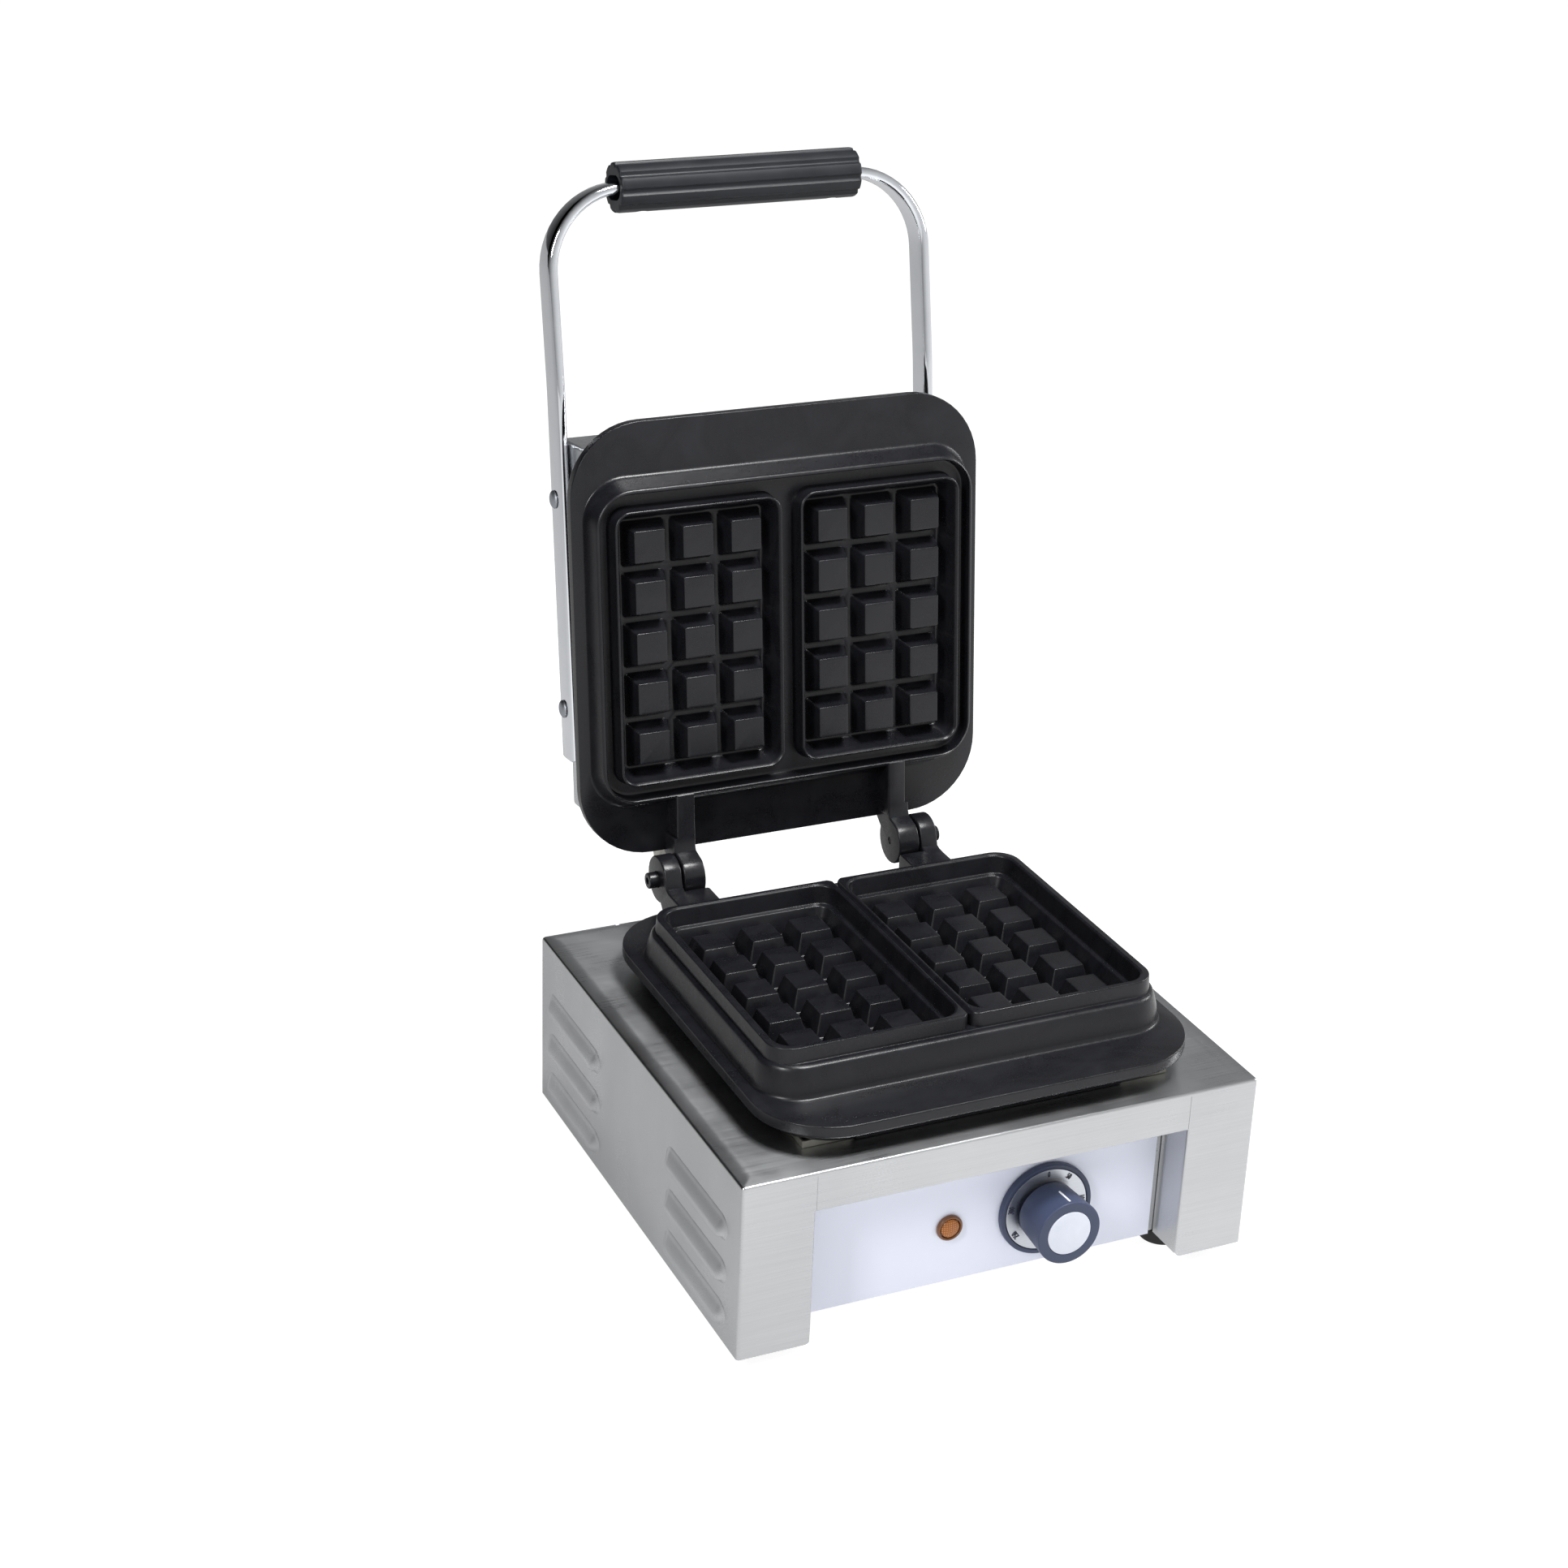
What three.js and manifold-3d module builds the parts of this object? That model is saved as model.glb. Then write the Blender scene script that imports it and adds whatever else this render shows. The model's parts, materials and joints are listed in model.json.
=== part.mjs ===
// A counter-top electric waffle iron for two square-studded waffles.
// A folded steel housing carries the lower cast plate; the upper cast plate, its sheet cover and a
// U-shaped handle make up the lid, which turns on two hinge pins. A knob at the front sets the heat.
//
// Millimetres, +X to the right as seen from the front, +Y to the back, +Z up. Pieces are drawn in the
// housing's own coordinates (X centred, Y from the housing's front face, Z from the leg bottoms) or in
// a plate's coordinates (centre of the plate, Y towards the hinge, Z up from the stud tops), and the
// last group moves the whole object so that its origin is the bottom centre of its bounding box.

import * as THREE from 'three';
import { mergeVertices } from 'three/addons/utils/BufferGeometryUtils.js';
import Module from 'manifold-3d';

const wasm = await Module();
wasm.setup();

// ---------------------------------------------------------------- driving dimensions
const GAP = 0.3; // clearance kept between pieces that touch

const HOUSING = { width: 340, depth: 326, height: 116, sheet: 1.2 };
const LEG = { inner: 123.2, returnDepth: 27, top: 89.6, cornerRadius: 3.5 };
const FOOT = { drop: 9, x: 136.5, frontY: 38, rearY: 288, radius: 14.5 };
const PANEL = { overlayY: 26.7, overlayThick: 0.6, sheetThick: 1.2, halfWidth: 119.6, bottom: 1.5, top: 88.8 };
const DIAL = { x: 42.3, z: 40, rimRadius: 30.8, scaleRadius: 27.4, frontY: 21.8 };
const KNOB = { radius: 21, frontY: -6, backY: 21.2, capRadius: 14.4 };
const PILOT = { x: -21.8, z: 40, radius: 8.5 };
const LOUVRE = { halfLength: 44.5, halfHeight: 7, out: 4.2, heights: [76, 46.5, 17.5], centresY: [64, 265.5] };

const STUD = { pitch: 33, top: 20, base: 28.2, depth: 14, columns: 3, rows: 5 };
const CAVITY_X = 63.3; // centre of each waffle cavity from the middle of the plate
const PLATE_Y = 150.2; // centre of both plates
const STUD_Z = 152.9; // lower stud tops
const CLOSED_GAP = 4; // between facing stud tops when the lid is shut
const FLANGE = { halfX: 142.2, halfY: 142.6, radius: 48 };
const BODY_DEPTH = 32; // from the stud tops to the back of a casting

const HINGE = { y: 305, z: 154.8, earRadius: 15.6, pinRadius: 5.3, pinEnd: 105, openAngle: 96.28 };
const UPPER_EAR = [70, 84.8];
const LOWER_EAR = [86.2, 98.2];
const UPPER_RIB = [69.8, 82.4];
const LOWER_RIB = [69, 98.2]; // wide as far as the upper ear

const COVER = { halfX: 125.5, halfY: 123.4, front: -32.6, back: -76.3, sheet: 1 };
const BAR = { thick: 7.2, deep: 20, x: 129.6, lowerEnd: 86.4, bendY: -155.6, arcY: -227.8, arcRadius: 50 };
const BAR_DEPTH = -64.3; // bar centre behind the stud tops, at its lower end
const BAR_TILT = 0.023; // how far the bar leans back per millimetre up to the bend
const BAR_LEAN = 0.082; // the same beyond the bend
const GRIP = { radius: 15.9, halfLength: 83, flutes: 9 };
const RIVET_Y = [-85.6, 53.4];
const RIVET_BACK = 1.5; // rivets sit behind the middle of the bar

const ORIGIN_Y = 221.75; // from the housing's front face back to the middle of the bounding box

// ---------------------------------------------------------------- shape helpers
function toSolid(geometry) {
  const bare = geometry.clone();
  bare.deleteAttribute('normal');
  bare.deleteAttribute('uv');
  const welded = mergeVertices(bare, 1e-4);
  return new wasm.Manifold(new wasm.Mesh({
    numProp: 3,
    vertProperties: new Float32Array(welded.attributes.position.array),
    triVerts: new Uint32Array(welded.index.array),
  }));
}

function toGeometry(solid) {
  const mesh = solid.getMesh();
  const geometry = new THREE.BufferGeometry();
  geometry.setAttribute('position', new THREE.BufferAttribute(new Float32Array(mesh.vertProperties), 3));
  geometry.setIndex(new THREE.BufferAttribute(new Uint32Array(mesh.triVerts), 1));
  const flat = geometry.toNonIndexed();
  flat.computeVertexNormals();
  return flat;
}

function join(...solids) {
  return solids.reduce((whole, piece) => whole.add(piece));
}

function cut(solid, ...tools) {
  return tools.reduce((rest, tool) => rest.subtract(tool), solid);
}

function box(x0, x1, y0, y1, z0, z1) {
  const geometry = new THREE.BoxGeometry(x1 - x0, y1 - y0, z1 - z0);
  geometry.translate((x0 + x1) / 2, (y0 + y1) / 2, (z0 + z1) / 2);
  return toSolid(geometry);
}

// The same box on the left and on the right.
function boxPair(x0, x1, y0, y1, z0, z1) {
  return join(box(x0, x1, y0, y1, z0, z1), box(-x1, -x0, y0, y1, z0, z1));
}

function roundedLoop(halfX, halfY, radius, steps) {
  const loop = [];
  const corners = [[1, 1, 0], [-1, 1, 90], [-1, -1, 180], [1, -1, 270]];
  for (const [signX, signY, start] of corners) {
    for (let k = 0; k <= steps; k += 1) {
      const angle = THREE.MathUtils.degToRad(start + (steps ? (90 * k) / steps : 45));
      const x = signX * (halfX - radius) + radius * Math.cos(angle) * (steps ? 1 : 0);
      const y = signY * (halfY - radius) + radius * Math.sin(angle) * (steps ? 1 : 0);
      loop.push([x, y]);
    }
  }
  return loop;
}

// A closed body with a rounded rectangle [halfX, halfY, radius, z, shiftX, shiftY] at each level.
function stack(levels, steps = 5) {
  const loops = levels.map(([halfX, halfY, radius]) => roundedLoop(halfX, halfY, radius, steps));
  const count = loops[0].length;
  const positions = [];
  levels.forEach(([, , , z, shiftX = 0, shiftY = 0], level) => {
    loops[level].forEach(([x, y]) => positions.push(x + shiftX, y + shiftY, z));
  });
  const index = [];
  for (let level = 0; level + 1 < levels.length; level += 1) {
    for (let k = 0; k < count; k += 1) {
      const a = level * count + k;
      const b = level * count + ((k + 1) % count);
      index.push(a, b, b + count, a, b + count, a + count);
    }
  }
  const last = (levels.length - 1) * count;
  for (let k = 1; k + 1 < count; k += 1) {
    index.push(0, k + 1, k);
    index.push(last, last + k, last + k + 1);
  }
  const geometry = new THREE.BufferGeometry();
  geometry.setAttribute('position', new THREE.Float32BufferAttribute(positions, 3));
  geometry.setIndex(index);
  return geometry;
}

function stackSolid(levels, steps) {
  return toSolid(stack(levels, steps));
}

// A body turned about an axis: profile holds [radius, distance along the axis] and is closed.
function turned(profile, axis, x, y, z, sides = 32) {
  const points = profile.map(([radius, along]) => new THREE.Vector2(radius, along));
  if (THREE.ShapeUtils.area(points) < 0) points.reverse();
  const geometry = new THREE.LatheGeometry(points, sides);
  if (axis === 'x') geometry.rotateZ(-Math.PI / 2);
  if (axis === 'z') geometry.rotateX(Math.PI / 2);
  geometry.translate(x, y, z);
  return toSolid(geometry);
}

// A rod of one radius between two distances along an axis.
function rod(radius, from, to, axis, x, y, z, sides = 24) {
  return turned([[0, from], [radius, from], [radius, to], [0, to]], axis, x, y, z, sides);
}

// A round tube's solid along a smooth curve through the points.
function cable(points, radius, steps, sides) {
  const path = new THREE.CatmullRomCurve3(points.map((p) => new THREE.Vector3(...p)));
  const section = new THREE.Shape();
  section.absarc(0, 0, radius, 0, Math.PI * 2, false);
  const options = { steps, extrudePath: path, bevelEnabled: false, curveSegments: sides / 2 };
  return toSolid(new THREE.ExtrudeGeometry(section, options));
}

// A flat outline in the Y-Z plane, extruded along X.
function sideProfile(outline, x0, x1) {
  const shape = new THREE.Shape(outline.map(([y, z]) => new THREE.Vector2(y, z)));
  const geometry = new THREE.ExtrudeGeometry(shape, { depth: x1 - x0, bevelEnabled: false });
  geometry.rotateY(Math.PI / 2);
  geometry.rotateX(Math.PI / 2);
  geometry.translate(x0, 0, 0);
  return toSolid(geometry);
}

// ---------------------------------------------------------------- materials
function finish(color, roughness, metalness, extra = {}) {
  return () => new THREE.MeshStandardMaterial({ color, roughness, metalness, ...extra });
}

const stainless = finish(0xb9bbbd, 0.38, 1);
const galvanised = finish(0xa9acab, 0.5, 0.9);
const castIron = finish(0x25262a, 0.42, 0.3);
const chrome = finish(0xd6dade, 0.12, 1);
const blackPlastic = finish(0x26292e, 0.55, 0);
const rubber = finish(0x161718, 0.85, 0);
const whiteFilm = finish(0xdde0f0, 0.35, 0);
const navyPlastic = finish(0x3a4468, 0.45, 0);
const silverPrint = finish(0xb4b8c2, 0.35, 0.6);
const paleInlay = finish(0xd9dde8, 0.4, 0);
const amber = finish(0xe07a1e, 0.2, 0, { transparent: true, opacity: 0.85 });
const amberBezel = finish(0x9a5a2a, 0.35, 0);
const bakelite = finish(0x6b3f2a, 0.5, 0);
const copper = finish(0xb87648, 0.35, 1);
const elementSheath = finish(0x55585a, 0.5, 0.8);
const mineralWool = finish(0xd8cfa8, 0.95, 0);
const paleSleeve = finish(0xd9d5c8, 0.6, 0);
const zinc = finish(0xc2c4c2, 0.35, 0.95);

function piece(name, solid, material) {
  const mesh = new THREE.Mesh(toGeometry(solid), material());
  mesh.name = name;
  return mesh;
}

// ---------------------------------------------------------------- housing
// Front face: a top strip over a wide opening, with a leg at each side.
function housingFront() {
  const half = HOUSING.width / 2;
  const r = LEG.cornerRadius;
  const shape = new THREE.Shape();
  shape.moveTo(-half, HOUSING.height);
  shape.lineTo(-half, r);
  shape.absarc(-half + r, r, r, Math.PI, Math.PI * 1.5, false);
  shape.absarc(-LEG.inner - r, r, r, -Math.PI / 2, 0, false);
  shape.lineTo(-LEG.inner, LEG.top);
  shape.lineTo(LEG.inner, LEG.top);
  shape.absarc(LEG.inner + r, r, r, Math.PI, Math.PI * 1.5, false);
  shape.absarc(half - r, r, r, -Math.PI / 2, 0, false);
  shape.lineTo(half, HOUSING.height);
  const options = { depth: HOUSING.sheet, bevelEnabled: false, curveSegments: 4 };
  const geometry = new THREE.ExtrudeGeometry(shape, options);
  geometry.rotateX(Math.PI / 2);
  geometry.translate(0, HOUSING.sheet, 0);
  return toSolid(geometry);
}

// A pressed louvre: a hood with round ends that stands out of the side and opens downwards.
function louvre(side, y, z, inner) {
  const shrink = inner ? HOUSING.sheet : 0;
  const length = LOUVRE.halfLength - shrink;
  const height = LOUVRE.halfHeight - shrink;
  const out = LOUVRE.out - shrink;
  const drop = inner ? 1.6 : 0;
  const start = inner ? -HOUSING.sheet - 1 : -HOUSING.sheet / 2;
  const geometry = stack([
    [height, length, height, start, drop, 0],
    [height * 0.8, length - 1.2, height * 0.8, out * 0.55, height * 0.2 + drop, 0],
    [height * 0.45, length - 3.4, height * 0.45, out, height * 0.5 + drop, 0],
  ], 2);
  geometry.rotateY(Math.PI / 2);
  if (side < 0) geometry.rotateZ(Math.PI);
  geometry.translate(side * (HOUSING.width / 2), y, z);
  return toSolid(geometry);
}

const BOLT_HOLES = [[-100, -100], [100, -100], [-100, 100], [100, 100]];
const REAR_SCREWS = [[-163.5, 22], [163.5, 22], [-163.5, 96], [163.5, 96]];
const GLAND = { x: 118, z: 34, radius: 9 };
const CONDUIT_REAR = { x: -42, z: 50 };
const CONDUIT_LID = { x: -74, z: -58, reach: 7.8 };
const CONDUIT_RADIUS = 6.5;

function housing() {
  const { width, depth, height, sheet } = HOUSING;
  const half = width / 2;
  const parts = [
    housingFront(),
    box(-half, half, 0, depth, height - sheet, height),
    boxPair(half - sheet, half, 0, depth, 0, height),
    boxPair(LEG.inner, LEG.inner + sheet, 0, LEG.returnDepth, 3, LEG.top + sheet),
    box(-LEG.inner - sheet, LEG.inner + sheet, 0, LEG.returnDepth, LEG.top, LEG.top + sheet),
    boxPair(half - 12, half, depth - sheet, depth, 0, height),
    box(-half, half, depth - sheet, depth, height - 14, height),
    boxPair(half - 12, half, LEG.returnDepth + 3, depth, 0, sheet),
  ];
  const holes = [
    box(-60, 60, 90, 210, height - 5, height + 5),
    boxPair(116, 119, depth - 2.4, depth + 1, height - 3, height + 1),
    ...BOLT_HOLES.map(([x, y]) => rod(3.4, height - 5, height + 5, 'z', x, PLATE_Y + y, 0, 16)),
    ...REAR_SCREWS.map(([x, z]) => rod(2.2, depth - 5, depth + 5, 'y', x, 0, z, 12)),
  ];
  let shell = cut(join(...parts), ...holes);
  for (const side of [-1, 1]) {
    for (const y of LOUVRE.centresY) {
      for (const z of LOUVRE.heights) {
        shell = shell.add(louvre(side, y, z, false)).subtract(louvre(side, y, z, true));
      }
    }
  }
  return shell;
}

function rearPanel() {
  const front = HOUSING.depth - HOUSING.sheet - GAP - HOUSING.sheet;
  const back = front + HOUSING.sheet;
  const inside = HOUSING.width / 2 - HOUSING.sheet - GAP;
  let panel = box(-inside, inside, front, back, 3.4, HOUSING.height - HOUSING.sheet - GAP);
  for (let k = 0; k < 8; k += 1) {
    const x = -14 + k * 13;
    panel = panel.subtract(stackSolid([[2, 22, 2, -3], [2, 22, 2, 3]], 1)
      .rotate([90, 0, 0]).translate([x, front, 62]));
  }
  const holes = [
    rod(GLAND.radius + GAP, front - 5, back + 5, 'y', GLAND.x, 0, GLAND.z),
    rod(CONDUIT_RADIUS + 1.5 + GAP, front - 5, back + 5, 'y', CONDUIT_REAR.x, 0, CONDUIT_REAR.z),
    ...REAR_SCREWS.map(([x, z]) => rod(2.2, front - 5, back + 5, 'y', x, 0, z, 12)),
  ];
  return cut(panel, ...holes);
}

function basePlate() {
  const inside = HOUSING.width / 2 - HOUSING.sheet - GAP;
  let plate = box(-inside, inside, LEG.returnDepth + 3.6, HOUSING.depth - 3.6, 1.5, 2.7);
  for (let k = 0; k < 7; k += 1) {
    const y = 110 + k * 16;
    plate = plate.subtract(stackSolid([[50, 3, 3, 0], [50, 3, 3, 5]], 1).translate([0, y, 0]));
  }
  const holes = footCentres().map(([, x, y]) => rod(2.7, 0, 6, 'z', x, y, 0, 12));
  return cut(plate, ...holes);
}

function footCentres() {
  return [
    ['front_left', -FOOT.x, FOOT.frontY],
    ['front_right', FOOT.x, FOOT.frontY],
    ['rear_left', -FOOT.x, FOOT.rearY],
    ['rear_right', FOOT.x, FOOT.rearY],
  ];
}

// A rubber foot with a counterbore from below for its screw.
function foot(x, y) {
  const profile = [
    [2.7, -2], [5.4, -2], [5.4, -FOOT.drop], [FOOT.radius - 1.2, -FOOT.drop],
    [FOOT.radius, -FOOT.drop + 1.2], [FOOT.radius + 1.2, 0], [FOOT.radius + 1.2, 1.2], [2.7, 1.2], [2.7, -2],
  ];
  return turned(profile, 'z', x, y, 0, 18);
}

function footScrew(x, y) {
  const profile = [[0, -5.2], [3, -5.2], [4.5, -4.2], [4.5, -2.3], [2.3, -2.3], [2.3, 6], [0, 6]];
  return turned(profile, 'z', x, y, 0, 10);
}

function rearScrew(x, z) {
  const face = HOUSING.depth;
  const profile = [
    [0, face - 6], [1.9, face - 6], [1.9, face + GAP], [3.7, face + GAP],
    [3.4, face + 1.9], [1.8, face + 2.5], [0, face + 2.5],
  ];
  return turned(profile, 'y', x, 0, z, 10);
}

// ---------------------------------------------------------------- controls
function controlPanel() {
  const front = PANEL.overlayY + PANEL.overlayThick + GAP;
  const sheet = box(-152, 152, front, front + PANEL.sheetThick, 3.2, 112);
  return cut(
    sheet,
    rod(5.6, front - 5, front + 5, 'y', DIAL.x, 0, DIAL.z),
    rod(6, front - 5, front + 5, 'y', PILOT.x, 0, PILOT.z),
  );
}

function panelOverlay() {
  const front = PANEL.overlayY;
  const film = box(-PANEL.halfWidth, PANEL.halfWidth, front, front + PANEL.overlayThick, PANEL.bottom, PANEL.top);
  return cut(
    film,
    rod(5.6, front - 5, front + 5, 'y', DIAL.x, 0, DIAL.z),
    rod(6, front - 5, front + 5, 'y', PILOT.x, 0, PILOT.z),
  );
}

function dialRim() {
  const inner = DIAL.scaleRadius + GAP;
  const back = PANEL.overlayY - GAP;
  const profile = [
    [inner, back], [DIAL.rimRadius, back], [DIAL.rimRadius, DIAL.frontY + 1.2],
    [DIAL.rimRadius - 1.2, DIAL.frontY], [inner, DIAL.frontY], [inner, back],
  ];
  return turned(profile, 'y', DIAL.x, 0, DIAL.z, 32);
}

function scaleRing() {
  const back = PANEL.overlayY - GAP;
  const profile = [
    [5.6, back], [DIAL.scaleRadius, back], [DIAL.scaleRadius, DIAL.frontY + 0.4],
    [KNOB.radius - 1, DIAL.frontY + 1.2], [5.6, DIAL.frontY + 1.2], [5.6, back],
  ];
  return turned(profile, 'y', DIAL.x, 0, DIAL.z, 32);
}

function knob() {
  const { radius, frontY, backY, capRadius } = KNOB;
  const profile = [
    [0, frontY + 0.8], [capRadius + GAP, frontY + 0.8], [capRadius + GAP, frontY], [radius - 2, frontY],
    [radius - 0.4, frontY + 1.6], [radius, backY - 1], [radius - 0.6, backY], [3.4, backY],
    [3.4, frontY + 5], [0, frontY + 5],
  ];
  return turned(profile, 'y', DIAL.x, 0, DIAL.z, 28);
}

function knobCap() {
  return rod(KNOB.capRadius, KNOB.frontY - 0.2, KNOB.frontY + 0.5, 'y', DIAL.x, 0, DIAL.z, 32);
}

function thermostatShaft() {
  return rod(3, KNOB.frontY + 5.4, 40, 'y', DIAL.x, 0, DIAL.z, 16);
}

const THERMOSTAT_FRONT = PANEL.overlayY + PANEL.overlayThick + 2 * GAP + PANEL.sheetThick;

function thermostat() {
  const { x, z } = DIAL;
  const body = join(
    box(x - 21, x + 21, THERMOSTAT_FRONT, THERMOSTAT_FRONT + 26, z - 19, z + 19),
    box(x - 14, x + 14, THERMOSTAT_FRONT + 24, THERMOSTAT_FRONT + 32, z - 12, z + 12),
    boxPair(x + 24, x + 30, THERMOSTAT_FRONT + 8, THERMOSTAT_FRONT + 10, z - 8, z + 8)
      .intersect(box(x + 20, x + 31, 0, 99, 0, 99)),
    box(x + 19, x + 26, THERMOSTAT_FRONT + 8, THERMOSTAT_FRONT + 10, z - 8, z + 8),
  );
  return body.subtract(rod(3.4, THERMOSTAT_FRONT - 1, 41, 'y', x, 0, z, 16));
}

// The sensing bulb lies in the lower casting; its capillary runs down to the thermostat.
function thermostatBulb() {
  const bulbZ = STUD_Z - 26.8;
  const capillary = cable([
    [36, PLATE_Y - 35, bulbZ], [43, PLATE_Y - 34, bulbZ], [47, PLATE_Y - 26, bulbZ],
    [40, PLATE_Y - 12, bulbZ - 4], [26, PLATE_Y - 2, bulbZ - 14], [24, PLATE_Y - 6, 100],
    [32, PLATE_Y - 24, 72], [40, PLATE_Y - 52, 48], [DIAL.x, PLATE_Y - 70, 40],
    [DIAL.x, THERMOSTAT_FRONT + 33.2, 40],
  ], 1.2, 30, 6);
  return capillary.add(rod(3, -40, 38, 'x', 0, PLATE_Y - 35, bulbZ, 12));
}

function pilotBezel() {
  const back = PANEL.overlayY - GAP;
  const profile = [
    [6.6, back], [PILOT.radius, back], [PILOT.radius, back - 1.4], [PILOT.radius - 1, back - 2.6],
    [6.9, back - 2.6], [6.6, back - 1.8], [6.6, back],
  ];
  return turned(profile, 'y', PILOT.x, 0, PILOT.z, 20);
}

function pilotLens() {
  const back = PANEL.overlayY - GAP;
  const profile = [[0, back], [6.2, back], [6.2, back - 2.6], [5, back - 3.3], [0, back - 3.6]];
  return turned(profile, 'y', PILOT.x, 0, PILOT.z, 24);
}

function pilotBody() {
  const start = PANEL.overlayY;
  const profile = [
    [0, start], [5.6, start], [5.6, start + 16], [4, start + 16], [4, start + 24], [0, start + 24],
  ];
  return turned(profile, 'y', PILOT.x, 0, PILOT.z, 16);
}

function terminalBlock() {
  let block = box(66, 122, 272, 292, 3, 22);
  for (let k = 0; k < 5; k += 1) {
    block = block.subtract(rod(2.4, 12, 24, 'z', 72 + k * 11, 282, 0, 12));
  }
  return block;
}

// ---------------------------------------------------------------- cord inlet and lid conduit ends
function cableGland() {
  const wall = HOUSING.depth;
  const profile = [
    [4, wall - 14], [8.4, wall - 14], [8.4, wall + GAP], [13, wall + GAP], [13, wall + 6],
    [10.5, wall + 8], [10, wall + 16], [7, wall + 19], [4, wall + 19], [4, wall - 14],
  ];
  return turned(profile, 'y', GLAND.x, 0, GLAND.z, 18);
}

function glandNut() {
  const front = HOUSING.depth - 2 * HOUSING.sheet - 2 * GAP;
  const hexagon = rod(14, front - 6, front - GAP, 'y', GLAND.x, 0, GLAND.z, 6);
  return hexagon.subtract(rod(8.8, front - 8, front + 2, 'y', GLAND.x, 0, GLAND.z, 18));
}

function conduitRearGland() {
  const wall = HOUSING.depth - HOUSING.sheet;
  const r = CONDUIT_RADIUS;
  const profile = [
    [r - 2, wall - 12], [r + 1.5, wall - 12], [r + 1.5, wall + GAP], [r + 4.5, wall + GAP],
    [r + 4.5, wall + 5], [r + 2.5, wall + 8], [r - 2, wall + 8], [r - 2, wall - 12],
  ];
  return turned(profile, 'y', CONDUIT_REAR.x, 0, CONDUIT_REAR.z, 24);
}

// ---------------------------------------------------------------- castings, in plate coordinates
function studs() {
  const list = [];
  for (const side of [-1, 1]) {
    for (let column = 0; column < STUD.columns; column += 1) {
      for (let row = 0; row < STUD.rows; row += 1) {
        const x = side * CAVITY_X + (column - (STUD.columns - 1) / 2) * STUD.pitch;
        const y = (row - (STUD.rows - 1) / 2) * STUD.pitch;
        const top = STUD.top / 2;
        const levels = [
          [STUD.base / 2, STUD.base / 2, 0, -STUD.depth - 0.4],
          [top + 0.5, top + 0.5, 0, -0.7],
          [top - 0.4, top - 0.4, 0, 0],
        ];
        list.push(stackSolid(levels, 0).translate([x, y, 0]));
      }
    }
  }
  return list;
}

function inBothCavities(levels, steps) {
  const one = stackSolid(levels, steps);
  return join(one.translate([-CAVITY_X, 0, 0]), one.translate([CAVITY_X, 0, 0]));
}

// The round ears of a casting, each carried by a neck and by a rib along the flange. The ears and the
// ribs are given by their two distances from the middle.
function hingeEars([inner, outer], [ribInner, ribOuter], ribTop) {
  const y = HINGE.y - PLATE_Y;
  const z = HINGE.z - STUD_Z;
  const neck = [[133, -21], [142, -21], [y - 4, z - 15], [y, z], [139.5, ribTop], [133, ribTop]];
  const rib = [[98, -21], [137.2, -21], [137.2, ribTop], [98, ribTop]];
  const ears = [];
  for (const side of [-1, 1]) {
    const [x0, x1] = side < 0 ? [-outer, -inner] : [inner, outer];
    const [ribX0, ribX1] = side < 0 ? [-ribOuter, -ribInner] : [ribInner, ribOuter];
    ears.push(sideProfile(rib, ribX0, ribX1));
    ears.push(sideProfile(neck, x0, x1));
    ears.push(rod(HINGE.earRadius, x0, x1, 'x', 0, y, z, 28));
  }
  return join(...ears);
}

function underside() {
  const y = FLANGE.halfY;
  return [
    [FLANGE.halfX - 12, y - 12, 36, -BODY_DEPTH],
    [FLANGE.halfX, y, FLANGE.radius, -23],
    [FLANGE.halfX, y, FLANGE.radius, -16.7],
    [FLANGE.halfX - 0.8, y - 0.8, FLANGE.radius - 0.8, -16],
  ];
}

function elementRecess() {
  return stackSolid([[112, 85, 10, -BODY_DEPTH - 1], [110, 83, 10, -22.6]], 3);
}

function lowerPlate() {
  const body = stackSolid([
    ...underside(),
    [134.2, 107.6, 27, -15.5], [133.2, 106, 26.3, -6.5], [131.2, 102.8, 25, 1.8],
    [129.6, 100.9, 23.4, 3.1], [128.2, 97.1, 16.4, 3.1],
    [127.6, 96.3, 15.7, 11.6], [126.8, 95.5, 15, 12.6],
  ], 4);
  const cavities = inBothCavities([
    [49.4, 82.6, 4, -STUD.depth], [54.4, 87.2, 8.4, 0], [57.3, 90.2, 11, 0.5],
    [59, 91.9, 12.6, 11.6], [59.6, 92.5, 13.2, 13],
  ], 4);
  const notches = [-1, 1].map((side) => rod(5.4, 3.3, 20, 'z', 0, side * 97.4, 0, 20));
  const frontRib = box(-90, 90, -126, -123.9, -36.4, -BODY_DEPTH + 2);
  const bores = [-1, 1].map((side) => {
    const [from, to] = side < 0 ? [-LOWER_EAR[1] - 1, -LOWER_EAR[0] + 1] : [LOWER_EAR[0] - 1, LOWER_EAR[1] + 1];
    return rod(HINGE.pinRadius + GAP, from, to, 'x', 0, HINGE.y - PLATE_Y, HINGE.z - STUD_Z);
  });
  const taps = BOLT_HOLES.map(([x, y]) => rod(3.3, -BODY_DEPTH - 1, -22, 'z', x, y, 0, 12));
  const hollowed = cut(
    join(body, hingeEars(LOWER_EAR, LOWER_RIB, 0)),
    cavities,
    box(-1.7, 1.7, -93, 93, 10.4, 14),
    elementRecess(),
    ...notches,
    ...bores,
    ...taps,
  );
  return join(hollowed, frontRib, ...studs());
}

const COVER_BOLT_Y = [-100, 100];

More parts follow.
